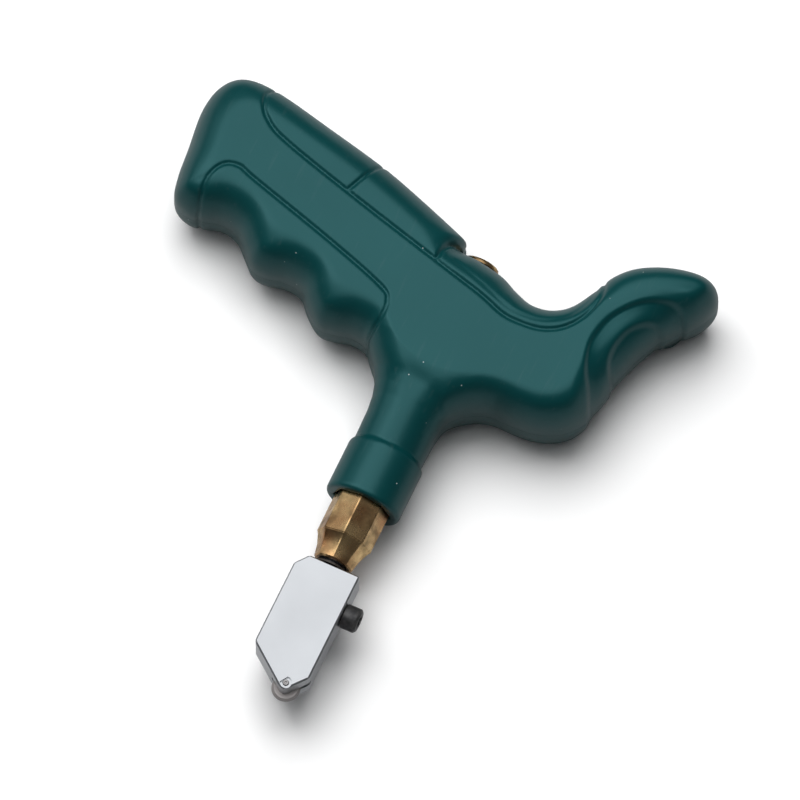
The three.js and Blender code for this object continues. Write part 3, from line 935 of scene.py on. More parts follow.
@dataclass
class Volume:
    """A field sampled on an even grid, negative inside the solid."""

    values: np.ndarray
    origin: np.ndarray
    pitch: float

    def net(self) -> tuple[np.ndarray, np.ndarray]:
        """Meshes the zero level with one point in each crossed cell.

        Returns:
            Points, and the four corners of each face.
        """
        cells = np.array(self.values.shape) - 1
        total = np.zeros((cells.prod(), 3))
        count = np.zeros(cells.prod())
        quads = []
        for axis in range(3):
            here = np.moveaxis(self.values, axis, 0)
            low, high = np.moveaxis(here[:-1], 0, axis), np.moveaxis(here[1:], 0, axis)
            where = np.argwhere((low < 0) != (high < 0))
            at = tuple(where.T)
            crossing = where.astype(float)
            crossing[:, axis] += low[at] / (low[at] - high[at])
            u, v = (axis + 1) % 3, (axis + 2) % 3
            corners = []
            for du, dv in ((-1, -1), (0, -1), (0, 0), (-1, 0)):
                cell = where.copy()
                cell[:, u] += du
                cell[:, v] += dv
                real = ((cell >= 0) & (cell < cells)).all(axis=1)
                index = np.ravel_multi_index(np.clip(cell, 0, cells - 1).T, cells)
                np.add.at(total, index[real], crossing[real])
                np.add.at(count, index[real], 1)
                corners.append(np.where(real, index, -1))
            quad = np.stack(corners, axis=1)
            outward = low[at] < 0
            quad[~outward] = quad[~outward][:, ::-1]
            quads.append(quad[(quad >= 0).all(axis=1)])
        faces = np.vstack(quads)
        used, faces = np.unique(faces, return_inverse=True)
        points = self.origin + self.pitch * total[used] / count[used, None]
        return points, faces.reshape(-1, 4)

    def sample(self, grid: np.ndarray, points: np.ndarray) -> np.ndarray:
        """Reads a grid between its samples.

        Args:
            grid: Values at the volume's samples.
            points: Where to read.

        Returns:
            One value for each point.
        """
        place = (points - self.origin) / self.pitch
        low = np.clip(np.floor(place).astype(int), 0, np.array(grid.shape) - 2)
        share = place - low
        result = np.zeros(len(points))
        for corner in np.ndindex(2, 2, 2):
            weight = np.prod(np.where(corner, share, 1 - share), axis=1)
            result += weight * grid[tuple((low + corner).T)]
        return result

    def settle(self, points: np.ndarray, rounds: int = 2) -> tuple[np.ndarray, np.ndarray]:
        """Moves points onto the surface and finds its normals there.

        Args:
            points: Points near the surface.
            rounds: Number of moves.

        Returns:
            The moved points and their unit normals.
        """
        slopes = np.gradient(self.values, self.pitch)
        for _ in range(rounds):
            slope = np.stack([self.sample(s, points) for s in slopes], axis=1)
            steep = np.maximum((slope**2).sum(axis=1), LEAST_SLOPE)
            move = -self.sample(self.values, points) / steep
            points = points + np.clip(move, -self.pitch, self.pitch)[:, None] * slope
        slope = np.stack([self.sample(s, points) for s in slopes], axis=1)
        length = np.linalg.norm(slope, axis=1, keepdims=True)
        return points, slope / np.maximum(length, LEAST_LENGTH)


def open_loops(faces: np.ndarray) -> Faces:
    """Finds the loops along a skin's open edge.

    Args:
        faces: Four corners of each face.

    Returns:
        Each loop's points, in the order that closes the skin.
    """
    edges = np.vstack([np.stack((faces[:, i], faces[:, (i + 1) % 4]), axis=1) for i in range(4)])
    known = {(int(a), int(b)) for a, b in edges}
    onward = {b: a for a, b in known if (b, a) not in known}
    loops = []
    while onward:
        start, point = onward.popitem()
        loop = [start]
        while point != start:
            loop.append(point)
            point = onward.pop(point)
        loops.append(loop)
    return loops


# ------------------------------------------------------------------------------------------------- handle


@dataclass(frozen=True)
class Groove:
    """A fine moulded line on the handle's faces."""

    points: tuple[Point2, ...]
    depth: float = 0.6
    width: float = 0.36


@dataclass
class HandleShells:
    """The two moulded halves of the handle, sculpted as one volume and parted at the mid-plane.

    Each blend gives the two distances, in millimetres, between which one shape turns into the other.
    """

    plastic: MouldedPlastic
    pitch: float = 0.36
    seam: float = 0.03
    grip_reach: float = 70.5
    horn_reach: float = 51.3
    saddle: float = 19.4
    swell: float = 0.5
    step_foot: float = 0.2
    edge_round: tuple[float, float] = (8.0, 11.0)
    horn_round: tuple[float, float] = (9.5, 12.0)
    horn_blend: Point2 = (-4.0, 2.0)
    rim_blur: float = 0.45
    inner_blur: float = 2.6
    inner_blend: Point2 = (2.0, 6.5)
    belly_trim: float = 1.6
    belly_blend: Point2 = (4.0, 12.0)
    collar_radius: float = 8.8
    collar_rim: float = -42.0
    collar_top: float = -28.6
    collar_step: Point2 = (-1.1, 0.3)
    collar_rounding: float = 1.1
    neck_radius: float = 8.1
    neck_flare: tuple[Point2, ...] = (
        (-22.0, 0.0), (-18.5, 0.3), (-15.5, 1.1), (-12.5, 2.6), (-10.0, 4.8), (-4.0, 9.0), (2.0, 11.0),
    )
    neck_rise_end: float = -5.5
    neck_end: float = 2.0
    neck_fillet: float = 1.4
    relief_blend: Point2 = (-26.0, -22.0)
    ring_line: float = 0.3
    ring_line_width: float = 0.33
    dish: float = 0.75
    dish_wall: Point2 = (-0.1, 0.45)
    dish_fade: float = 0.7
    dish_blend: Point2 = (0.8, 6.0)
    bore_gap: float = 0.3
    bore_rounding: float = 0.35
    bore_shoulder: float = 9.0
    spigot_radius: float = 4.6
    spigot_overlap: float = 1.0
    spigot_slope: float = 0.5
    screw_head_height: float = 1.8
    boss_wall: float = 1.2
    boss_cover: float = 0.7
    boss_fillet: float = 1.5
    pocket_rounding: float = 0.3
    half_thickness: float = field(init=False)

    finger_side: tuple[Point2, ...] = (
        (0.07, 22.6), (0.24, 26.9), (0.40, 30.5), (0.62, 34.1), (0.81, 36.9),
        (0.92, 36.7), (0.98, 33.0), (1.0, 26.5), (0.985, 17.0), (0.974, 10.0),
        (0.953, 5.4), (0.90, 3.8), (0.85, 4.4), (0.795, 5.4), (0.735, 4.3),
        (0.68, 0.8), (0.64, -1.7), (0.595, -2.0), (0.53, -1.1), (0.47, -2.0),
        (0.425, -5.3), (0.375, -7.9), (0.325, -7.8), (0.265, -6.9), (0.205, -7.8),
        (0.15, -11.5), (0.10, -15.0),
    )
    thumb_side: tuple[Point2, ...] = (
        (0.15, -16.6), (0.23, -12.9), (0.32, -10.8), (0.44, -10.7), (0.54, -10.1),
        (0.635, -7.8), (0.70, -3.8), (0.733, 1.6), (0.76, 8.4), (0.797, 14.8),
        (0.855, 20.8), (0.924, 25.3), (0.976, 29.4), (0.994, 33.0), (0.962, 35.8),
        (0.88, 36.7), (0.75, 35.3), (0.63, 32.2), (0.553, 28.1), (0.503, 22.7),
        (0.447, 17.8), (0.375, 15.2), (0.29, 14.6), (0.205, 16.0), (0.12, 18.1),
        (0.0, 19.4),
    )
    grooves: tuple[Groove, ...] = (
        Groove((
            (-57.0, 38.0), (-58.4, 33.8), (-57.7, 30.8), (-55.3, 27.8), (-49.8, 24.9), (-31.6, 19.6),
            (-7.1, 13.1), (4.4, 10.1), (10.5, 8.0), (14.6, 7.6), (19.9, 8.2), (24.2, 10.5),
            (27.2, 14.5), (28.6, 19.0), (28.6, 22.5), (27.0, 27.0),
        )),
        Groove((
            (-4.0, 15.0), (4.6, 12.2), (10.8, 9.9), (15.0, 9.5), (19.4, 10.2), (23.0, 12.4),
            (25.6, 16.0), (26.9, 20.0), (26.6, 24.0),
        ), depth=0.14, width=0.4),
        Groove(((-32.2, 20.2), (-30.6, 24.0), (-29.3, 27.4), (-28.0, 31.5))),
        Groove(((-7.8, 13.6), (-7.5, 16.5), (-6.6, 18.8), (-4.6, 20.0)), depth=0.8),
        Groove((
            (-60.6, 2.0), (-61.5, 6.0), (-61.6, 10.5), (-59.6, 14.2), (-56.2, 15.1), (-51.9, 13.7),
            (-30.4, 7.4), (-16.2, 2.6), (-13.3, 0.0), (-13.1, -4.0), (-14.6, -9.5),
        )),
    )
    thumb_rings: tuple[tuple[Point2, ...], ...] = (
        (
            (37.6, -4.5), (35.3, 0.2), (33.0, 3.8), (31.5, 8.0), (31.2, 12.0), (32.8, 17.8),
            (37.0, 23.2), (42.0, 26.0), (45.6, 26.2), (48.8, 23.0),
        ),
        (
            (39.8, 4.2), (36.9, 7.5), (36.0, 11.2), (37.0, 16.0), (39.2, 19.3), (42.0, 21.0),
            (45.6, 20.4),
        ),
    )

    def __post_init__(self) -> None:
        """Takes the thickness from the frame."""
        self.half_thickness = box_mm("handle_shell_upper")[1][2]

    def outline(self) -> np.ndarray:
        """Draws the handle's side view.

        Returns:
            Anticlockwise points.
        """
        fingers = through([(-self.grip_reach * share, y) for share, y in self.finger_side])
        thumb = through([(self.horn_reach * share, y) for share, y in self.thumb_side])
        step = np.array([[fingers[0][0], self.saddle + self.step_foot]])
        return np.vstack((fingers, thumb, step))

    def neck(self, x: np.ndarray, y: np.ndarray, z: np.ndarray) -> np.ndarray:
        """Gives the field of the collar and of the neck that swells from it into the body.

        Args:
            x: Grid of x.
            y: Grid of y.
            z: Grid of heights above the mid-plane.

        Returns:
            Grid of the field.
        """
        rise = np.clip((y - self.collar_top) / (self.neck_rise_end - self.collar_top), 0.0, 1.0)
        shoulder = ease(y, *(self.collar_top + along for along in self.collar_step))
        radius = self.collar_radius + (self.neck_radius - self.collar_radius) * shoulder
        tall = radius + (self.half_thickness - self.neck_radius) * rise
        heights, widths = zip(*self.neck_flare)
        wide = radius + np.interp(y, heights, widths)
        across = np.maximum(np.abs(x) - wide + radius, 0.0)
        above = np.maximum(z - tall + radius, 0.0)
        return np.maximum(np.hypot(across, above) - radius, y - self.neck_end)

    def relief(self, x: np.ndarray, y: np.ndarray) -> np.ndarray:
        """Measures how far the moulded lines and dishes sink below the plain surface.

        Args:
            x: Grid of x.
            y: Grid of y.

        Returns:
            Grid of depths.
        """
        depth = np.zeros(x.shape)
        for groove in self.grooves:
            away = distance_to(through(groove.points), x, y)
            depth = np.maximum(depth, groove.depth * np.exp(-((away / groove.width) ** 2)))
        for line in self.thumb_rings:
            ring = through(line)
            away = distance_to(ring, x, y)
            inward = -signed_distance(ring, x, y)
            depth += self.ring_line * np.exp(-((away / self.ring_line_width) ** 2))
            fade = 1 - self.dish_fade * ease(inward, *self.dish_blend)
            depth += self.dish * ease(inward, *self.dish_wall) * fade
        return depth

    def volume(self, side: Side) -> Volume:
        """Samples one half of the handle, with Z up from the mid-plane for either half.

        Args:
            side: Which half.

        Returns:
            The sampled field.
        """
        outline = self.outline()
        margin = 3 * self.pitch
        low = np.array((outline[:, 0].min() - margin, self.collar_rim - margin, -self.pitch / 2))
        high = np.array((*outline.max(axis=0), self.half_thickness)) + margin
        xs, ys, zs = (np.arange(a, b, self.pitch) for a, b in zip(low, high))
        x, y = np.meshgrid(xs, ys, indexing="ij")
        exact = signed_distance(outline, x, y)
        near = blurred(exact, self.rim_blur / self.pitch)
        deep = blurred(exact, self.inner_blur / self.pitch)
        edge = near + (deep - near) * ease(-exact, *self.inner_blend)
        rest = ease(-signed_distance(through(self.thumb_rings[0]), x, y), *self.horn_blend)
        wide, tall = (a + (b - a) * rest for a, b in zip(self.edge_round, self.horn_round))
        wide = wide - self.belly_trim * ease(x, *self.belly_blend) * (1 - rest)
        x, y, edge, wide, tall = (grid[:, :, None] for grid in (x, y, edge - self.swell, wide, tall))
        z = np.abs(zs[None, None, :])
        side_gap = (z - self.half_thickness) / tall + 1
        rim = edge / wide + 1
        inner = np.minimum(np.maximum(rim, side_gap), 0.0)
        solid = tall * (inner + np.hypot(np.maximum(rim, 0.0), np.maximum(side_gap, 0.0)) - 1)
        solid = soft_union(solid, self.neck(x, y, z), self.neck_fillet)
        solid = -soft_union(-solid, -(self.collar_rim - y), self.collar_rounding)
        relief = self.relief(x[:, :, 0], y[:, :, 0])[:, :, None]
        solid = solid + relief * ease(y, *self.relief_blend)
        solid = soft_cut(solid, self.bore(x, y, z), self.bore_rounding)
        if side is Side.LOWER:
            around, head_top = self.around_screws(x, y)
            boss = np.maximum(around - self.boss_wall, z - head_top - self.boss_cover)
            pocket = np.maximum(around, head_top - self.screw_head_height - z)
            solid = soft_cut(soft_union(solid, boss, self.boss_fillet), pocket, self.pocket_rounding)
        solid = np.maximum(solid, z - self.half_thickness)
        return Volume(solid, low, self.pitch)

    def bore(self, x: np.ndarray, y: np.ndarray, z: np.ndarray) -> np.ndarray:
        """Gives the field of the room for the barrel: octagonal below its shoulder and round above it.

        Args:
            x: Grid of x.
            y: Grid of y.
            z: Grid of heights above the mid-plane.

        Returns:
            Grid of the field.
        """
        lean = math.cos(math.pi / OCTAGON), math.sin(math.pi / OCTAGON)
        wide = np.abs(x)
        flats = np.maximum(wide * lean[0] + z * lean[1], wide * lean[1] + z * lean[0])
        shoulder = self.bore_shoulder + self.bore_gap
        octagon = np.maximum(flats - BARREL_FLAT - self.bore_gap, y - shoulder)
        floor = self.spigot_slope * (shoulder - self.spigot_overlap - y)
        spigot = np.maximum(np.hypot(x, z) - self.spigot_radius - self.bore_gap, floor)
        return np.minimum(octagon, spigot)

    def around_screws(self, x: np.ndarray, y: np.ndarray) -> tuple[np.ndarray, float]:
        """Measures the distance to the nearest shell screw's pocket.

        Args:
            x: Grid of x.
            y: Grid of y.

        Returns:
            The distance from the pocket's wall, and how far below the mid-plane the heads reach.
        """
        nearest = np.full(np.broadcast_shapes(x.shape, y.shape), np.inf)
        for node in SHELL_SCREWS:
            low, high = box_mm(node)
            middle = (low + high) / 2
            radius = (high[0] - low[0]) / 2 + self.bore_gap
            nearest = np.minimum(nearest, np.hypot(x - middle[0], y - middle[1]) - radius)
        return nearest, -low[2]

    def build(self) -> None:
        """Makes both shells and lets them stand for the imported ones."""
        material = self.plastic.material()
        for side, node in ((Side.UPPER, "handle_shell_upper"), (Side.LOWER, "handle_shell_lower")):
            volume = self.volume(side)
            points, quads = volume.net()
            points, normals = volume.settle(points)
            loops = open_loops(quads)
            rim = sorted({point for loop in loops for point in loop})
            points[rim, 2] = self.seam
            normals[rim, 2] = 0.0
            faces = quads.tolist() + loops
            if side is Side.LOWER:
                points[:, 2] *= -1
                normals[:, 2] *= -1
                faces = [face[::-1] for face in faces]
            piece = make_piece(
                f"{node}_moulded", "handle", "green_plastic", material, points, faces, sharp_angle=180.0
            )
            self.shade(piece, normals, len(quads), side)
            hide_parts(node)
            LOG.info("%s: %d faces", piece.name, len(faces))

    @staticmethod
    def shade(piece: bpy.types.Object, normals: np.ndarray, skin_faces: int, side: Side) -> None:
        """Gives the skin its exact normals and keeps the parting faces flat.

        Args:
            piece: The shell.
            normals: One unit normal for each point.
            skin_faces: Number of faces before the flat ones.
            side: Which half the shell is.
        """
        mesh = piece.data
        corners = np.zeros(len(mesh.loops), int)
        mesh.loops.foreach_get("vertex_index", corners)
        loop_normals = normals[corners]
        flat_start = 4 * skin_faces
        loop_normals[flat_start:] = (0.0, 0.0, -float(side.value))
        mesh.normals_split_custom_set(loop_normals.tolist())


# ------------------------------------------------------------------------------------- barrel, cap, screw


@dataclass
class OilBarrel:
    """The octagonal brass barrel with its tapered nose, drilled right through."""

    brass: TarnishedBrass
    corner: float = 1.3
    points_per_flat: int = 7
    chamfer: float = 0.3
    shoulder: float = 9.0
    spigot_radius: float = 4.6
    thread_radius: float = 3.3
    thread_lead: float = 0.25
    thread_length: float = 8.0
    reservoir_radius: float = 4.1
    reservoir_top: float = -2.0
    chamber_floor: float = -50.0
    nose_start: float = -51.3
    # Each row: place above the tip, distance to a flat, roundness.
    nose_tip: Profile = ((0.0, 4.1, 0.7), (0.3, 4.4, 0.55), (2.9, 4.75, 0.12))
    # Each row: place from nose_start, distance inside the barrel's flats, roundness.
    nose_step: Profile = (
        (-0.55, 0.42, 0.05), (-0.12, 0.16, 0.0), (0.0, 0.16, 0.0), (0.05, 0.05, 0.0), (0.15, 0.0, 0.0),
    )
    stem_room: float = 2.3
    seal_room: float = 3.5
    seal_depth: float = 1.9

    def outside(self, tip: float, top: float) -> list[Ring]:
        """Draws the outside, from the nose's tip to the spigot's end.

        Args:
            tip: Lowest place along the axis.
            top: Highest place along the axis.

        Returns:
            The rings, in order.
        """
        nose = [Ring(tip + rise, flat, OCTAGON, roundness) for rise, flat, roundness in self.nose_tip]
        step = [
            Ring(self.nose_start + along, BARREL_FLAT - inward, OCTAGON, roundness)
            for along, inward, roundness in self.nose_step
        ]
        return [
            *nose,
            *step,
            Ring(self.shoulder - self.chamfer, BARREL_FLAT, OCTAGON),
            Ring(self.shoulder, BARREL_FLAT - self.chamfer, OCTAGON),
            Ring(self.shoulder, self.spigot_radius),
            Ring(top - self.chamfer, self.spigot_radius),
            Ring(top, self.spigot_radius - self.chamfer),
        ]

    def inside(self, tip: float, top: float) -> list[Ring]:
        """Draws the bore, from the cap's thread down to the stem's seal.

        Args:
            tip: Lowest place along the axis.
            top: Highest place along the axis.

        Returns:
            The rings, in order.
        """
        return [
            Ring(top, self.thread_radius + self.thread_lead),
            Ring(top - self.thread_lead, self.thread_radius),
            Ring(top - self.thread_length, self.thread_radius),
            Ring(self.shoulder + self.reservoir_top, self.reservoir_radius),
            Ring(self.chamber_floor, self.reservoir_radius),
            Ring(self.chamber_floor, self.stem_room),
            Ring(tip + self.seal_depth, self.stem_room),
            Ring(tip + self.seal_depth, self.seal_room),
            Ring(tip, self.seal_room),
        ]

    def build(self) -> None:
        """Makes the barrel."""
        low, high = box_mm("oil_barrel")
        rings = self.outside(low[1], high[1]) + self.inside(low[1], high[1])
        angles = faceted_angles(OCTAGON, self.points_per_flat, self.corner)
        skin = loft(rings, Axis.Y, angles, closed=True)
        brass = self.brass.material()
        piece = make_piece("oil_barrel_milled", "handle", "brass", brass, *skin, sharp_angle=15.0)
        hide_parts("oil_barrel")
        LOG.info("%s: %d faces", piece.name, len(piece.data.polygons))


@dataclass
class OilCap:
    """The slotted brass cap that closes the barrel, with its turned thread."""

    brass: TarnishedBrass
    head_radius: float = 4.2
    head_height: float = 1.1
    under_chamfer: float = 0.15
    head_rounding: Profile = ((0.4, 0.0), (0.12, 0.14), (0.0, 0.42))
    plug_radius: float = 2.9
    plug_end: Profile = ((0.0, 0.5), (0.3, 0.25))
    pitch: float = 0.75
    thread_depth: float = 0.35
    thread_runout: float = 0.4
    slot_width: float = 1.0
    slot_depth: float = 0.7
    sides: int = 48

    def build(self) -> None:
        """Makes the cap."""
        low, high = box_mm("oil_cap")
        seat = high[1] - self.head_height
        root = self.plug_radius - self.thread_depth
        rings = [Ring(low[1] + rise, self.plug_radius - inward) for rise, inward in self.plug_end]
        along = rings[-1].along
        while along + self.pitch < seat - self.thread_runout:
            rings.append(Ring(along + 0.5 * self.pitch, self.plug_radius))
            rings.append(Ring(along + self.pitch, root))
            along += self.pitch
        rings += [
            Ring(seat, root),
            Ring(seat, self.head_radius - self.under_chamfer),
            Ring(seat + self.under_chamfer, self.head_radius),
        ]
        rings += [Ring(high[1] - down, self.head_radius - inward) for down, inward in self.head_rounding]
        skin = loft(rings, Axis.Y, even_angles(self.sides))
        piece = make_piece("oil_cap_turned", "oil_cap", "brass", self.brass.material(), *skin)
        half = self.slot_width / 2
        reach = self.head_radius + PAST
        floor, top = high[1] - self.slot_depth, high[1] + PAST
        slot = [(-reach, floor), (reach, floor), (reach, top), (-reach, top)]
        subtract(piece, [prism(slot, -half, half)])
        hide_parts("oil_cap")
        LOG.info("%s: %d faces", piece.name, len(piece.data.polygons))


@dataclass
class ClampScrew:
    """The black socket screw in the head's side."""

    oxide: BlackOxide
    head_radius: float = 2.8
    head_length: float = 3.7
    seat_rounding: Profile = ((0.0, 0.2), (0.15, 0.03), (0.3, 0.0))
    face_rounding: Profile = ((0.55, 0.0), (0.45, 0.04), (0.06, 0.45), (0.0, 0.57))
    thread_radius: float = 1.45
    thread_depth: float = 0.25
    thread_lead: float = 0.1
    tip_taper: float = 0.35
    pitch: float = 0.5
    socket_flat: float = 1.25
    socket_depth: float = 1.9
    socket_mouth: float = 0.35
    socket_mouth_roundness: float = 0.4
    socket_lead: float = 0.25
    socket_floor: Point2 = (0.3, 0.3)
    points_per_flat: int = 9
    corner: float = 1.0

    def build(self) -> None:
        """Makes the screw."""
        low, high = box_mm("clamp_screw")
        middle = (low + high) / 2
        seat = high[0] - self.head_length
        root = self.thread_radius - self.thread_depth
        rings = [Ring(low[0], self.thread_radius - self.tip_taper)]
        along = low[0] + self.thread_lead
        while along + self.pitch < seat:
            rings.append(Ring(along, root))
            rings.append(Ring(along + 0.5 * self.pitch, self.thread_radius))
            along += self.pitch
        rings.append(Ring(seat, root))
        rings += [Ring(seat + rise, self.head_radius - inward) for rise, inward in self.seat_rounding]
        rings += [Ring(high[0] - down, self.head_radius - inward) for down, inward in self.face_rounding]
        floor, centre_mark = self.socket_floor
        rings += [
            Ring(high[0], self.socket_flat + self.socket_mouth, HEXAGON, self.socket_mouth_roundness),
            Ring(high[0] - self.socket_lead, self.socket_flat, HEXAGON),
            Ring(high[0] - self.socket_depth, self.socket_flat, HEXAGON),
            Ring(high[0] - self.socket_depth - floor, centre_mark),
        ]
        angles = faceted_angles(HEXAGON, self.points_per_flat, self.corner)
        skin = loft(rings, Axis.X, angles, (middle[1], middle[2]))
        oxide = self.oxide.material()
        piece = make_piece("clamp_screw_socket", "clamp_screw", "black_oxide", oxide, *skin)
        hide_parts("clamp_screw")
        LOG.info("%s: %d faces", piece.name, len(piece.data.polygons))


# ------------------------------------------------------------------------------------------ head and wheel


def wheel_place() -> Point2:
    """Gives the wheel's centre in the side view.

    Returns:
        Its place across and along the barrel, in millimetres.
    """
    low, high = box_mm("cutting_wheel")
    middle = (low + high) / 2
    return middle[0], middle[1]


@dataclass(frozen=True)
class Hole:
    """A round hole, cut with a bar of this radius and number of sides."""

    radius: float
    sides: int

    def shape(
        self, start: float, end: float, axis: Axis, centre: Point2 = (0.0, 0.0)
    ) -> tuple[np.ndarray, Faces]:
        """Gives the bar that cuts the hole.

        Args:
            start: Where it starts along its axis.
            end: Where it ends.
            axis: Direction of the hole.
            centre: Where the axis passes, in its two other coordinates.

        Returns:
            Points and faces.
        """
        rings = [Ring(start, self.radius), Ring(end, self.radius)]
        return loft(rings, axis, even_angles(self.sides), centre)


@dataclass
class CuttingHead:
    """The steel head: one ground plate with the wheel's slot, the axle's recess and the stem's hole."""

    steel: PolishedSteel
    bevel_width: float = 0.34
    corner: Point2 = (2.4, 3.0)
    left_length: float = 23.6
    right_length: float = 26.4
    left_rounding: Profile = ((0.0, 0.9), (0.12, 0.4), (0.5, 0.0))
    tip_rounding: Profile = ((-1.3, 0.5), (-0.75, 0.12), (0.0, 0.0), (0.6, 0.1))
    right_rounding: Profile = ((-0.35, -0.18), (-0.08, 0.05), (0.0, 0.4))
    tip_beside_axle: float = 0.7
    slot_half: float = 0.65
    slot_room: float = 0.6
    stem_room: float = 0.3
    wick_overlap: float = 1.0
    screw_hole: Hole = Hole(1.75, 32)
    stem_hole: Hole = Hole(2.3, 40)
    wick_hole: Hole = Hole(1.4, 24)
    axle_hole: Hole = Hole(0.74, 28)
    recess_radius: float = 1.35
    recess_depth: float = 0.5
    recess_flat: float = 147.0
    recess_flat_half: float = 52.0
    recess_steps: int = 20
    facet_angle: float = 14.0

    def outline(self) -> list[Point2]:
        """Draws the head's face.

        Returns:
            Anticlockwise points.
        """
        low, high = box_mm("head_body")
        left, right, top, tip = low[0], high[0], high[1], low[1]
        tip_x = box_mm("wheel_axle")[0][0] + self.tip_beside_axle
        corners = (
            ((left, top - self.left_length), self.left_rounding),
            ((tip_x, tip), self.tip_rounding),
            ((right, top - self.right_length), self.right_rounding),
        )
        rounded = [(x + dx, y + dy) for (x, y), offsets in corners for dx, dy in offsets]
        return [(left + self.corner[0], top), (left, top - self.corner[1]), *rounded, (right, top)]

    def build(self) -> None:
        """Makes the head."""
        low, high = box_mm("head_body")
        wheel_low, wheel_high = box_mm("cutting_wheel")
        place = wheel_place()
        wheel_radius = (wheel_high[0] - wheel_low[0]) / 2
        plate = prism(self.outline(), low[2], high[2])
        piece = make_piece("head_body_ground", "head", "polished_steel", self.steel.material(), *plate)
        bevel(piece, self.bevel_width, 1)
        slot_top = place[1] + wheel_radius + self.slot_room
        slot_left = place[0] - wheel_radius - self.slot_room
        slot_right, slot_foot = high[0] + PAST, low[1] - PAST
        foot = [(slot_left, slot_foot), (slot_right, slot_foot)]
        slot = [*foot, (slot_right, slot_top), (slot_left, slot_top)]
        screw_low, screw_high = box_mm("clamp_screw")
        stem_foot = box_mm("stem")[0][1]
        screw_y = (screw_low[1] + screw_high[1]) / 2
        start = self.recess_flat + self.recess_flat_half - 360
        end = self.recess_flat - self.recess_flat_half
        notch = arc(place, self.recess_radius, start, end, self.recess_steps)
        shapes = [
            prism(slot, -self.slot_half, self.slot_half),
            self.screw_hole.shape(0.0, high[0] + PAST, Axis.X, (screw_y, 0.0)),
            self.stem_hole.shape(stem_foot - self.stem_room, high[1] + PAST, Axis.Y),
            self.wick_hole.shape(slot_top - self.wick_overlap, stem_foot, Axis.Y),
            self.axle_hole.shape(low[2] - PAST, high[2] + PAST, Axis.Z, place),
            prism(notch, high[2] - self.recess_depth, high[2] + PAST),
            prism(notch, low[2] - PAST, low[2] + self.recess_depth),
        ]
        subtract(piece, shapes, self.facet_angle)
        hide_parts("head_body")
        LOG.info("%s: %d faces", piece.name, len(piece.data.polygons))


@dataclass
class CuttingWheel:
    """The carbide wheel with its two ground bevels."""

    carbide: GroundMetal
    bevel: float = 0.5
    edge: Point2 = (0.03, 0.01)
    hole: Profile = ((0.06, 0.8), (0.0, 0.88))
    shoulder: Profile = ((0.0, 0.05), (0.04, 0.0))
    sides: int = 96

    def build(self) -> None:
        """Makes the wheel."""
        low, high = box_mm("cutting_wheel")
        radius = (high[0] - low[0]) / 2
        half = (high[2] - low[2]) / 2
        rim = radius - self.bevel
        edge_along, edge_inward = self.edge
        flank = [(half - inward, size) for inward, size in self.hole]
        flank += [(half - inward, rim - drop) for inward, drop in self.shoulder]
        flank.append((edge_along, radius - edge_inward))
        rings = mirrored(flank, [Ring(0.0, radius)])
        points, faces = loft(rings, Axis.Z, even_angles(self.sides), wheel_place(), closed=True)
        faces = [face[::-1] for face in faces]
        carbide = self.carbide.material()
        piece = make_piece("cutting_wheel_ground", "wheel", "carbide", carbide, points, faces, 12.0)
        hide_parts("cutting_wheel")
        LOG.info("%s: %d faces", piece.name, len(faces))


@dataclass
class WheelAxle:
    """The axle pin, with a centre mark in each end."""

    steel: PlainMetal
    end: Profile = ((0.12, 0.18), (0.0, 0.3), (0.0, 0.58), (0.1, 0.68))
    sides: int = 32

    def build(self) -> None:
        """Makes the pin."""
        low, high = box_mm("wheel_axle")
        half = (high[2] - low[2]) / 2
        flank = [(half - inward, radius) for inward, radius in self.end]
        points, faces = loft(mirrored(flank), Axis.Z, even_angles(self.sides), wheel_place())
        faces = [face[::-1] for face in faces]
        piece = make_piece("wheel_axle_pin", "head", "plated_steel", self.steel.material(), points, faces)
        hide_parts("wheel_axle")
        LOG.info("%s: %d faces", piece.name, len(faces))


# ----------------------------------------------------------------------------------------------- the rest


@dataclass
class ValveSpring:
    """The coil between the stem's ring and the valve seat, which shortens as the head is pressed in."""

    steel: PlainMetal
    wire: float = 0.3
    turns: int = 4
    steps_per_turn: int = 40
    sides: int = 12

    def build(self) -> None:
        """Makes the coil."""
        low, high = box_mm("valve_spring")
        radius = (high[0] - low[0]) / 2 - self.wire
        share = np.linspace(0.0, 1.0, self.turns * self.steps_per_turn + 1)
        angle = 2 * math.pi * self.turns * share
        rise = low[1] + self.wire + (high[1] - low[1] - 2 * self.wire) * share
        outward = np.stack((np.cos(angle), np.zeros_like(angle), np.sin(angle)), axis=1)
        centre = radius * outward
        centre[:, 1] = rise
        along = np.gradient(centre, axis=0)
        along /= np.linalg.norm(along, axis=1, keepdims=True)
        upward = np.cross(along, outward)
        round_wire = even_angles(self.sides)
        loops = [centre + self.wire * (math.cos(a) * outward + math.sin(a) * upward) for a in round_wire]
        points = np.stack(loops, axis=1).reshape(-1, 3)
        faces = []
        for step in range(len(share) - 1):
            for side in range(self.sides):
                beside = (side + 1) % self.sides
                near, far = step * self.sides, (step + 1) * self.sides
                faces.append([near + side, far + side, far + beside, near + beside])
        last = (len(share) - 1) * self.sides
        faces.append(list(range(self.sides)))
        faces.append([last + side for side in reversed(range(self.sides))])
        steel = self.steel.material()
        piece = make_piece("valve_spring_coil", "valve", "spring_steel", steel, points, faces, 50.0)
        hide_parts("valve_spring")
        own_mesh(piece)
        LOG.info("%s: %d faces", piece.name, len(faces))


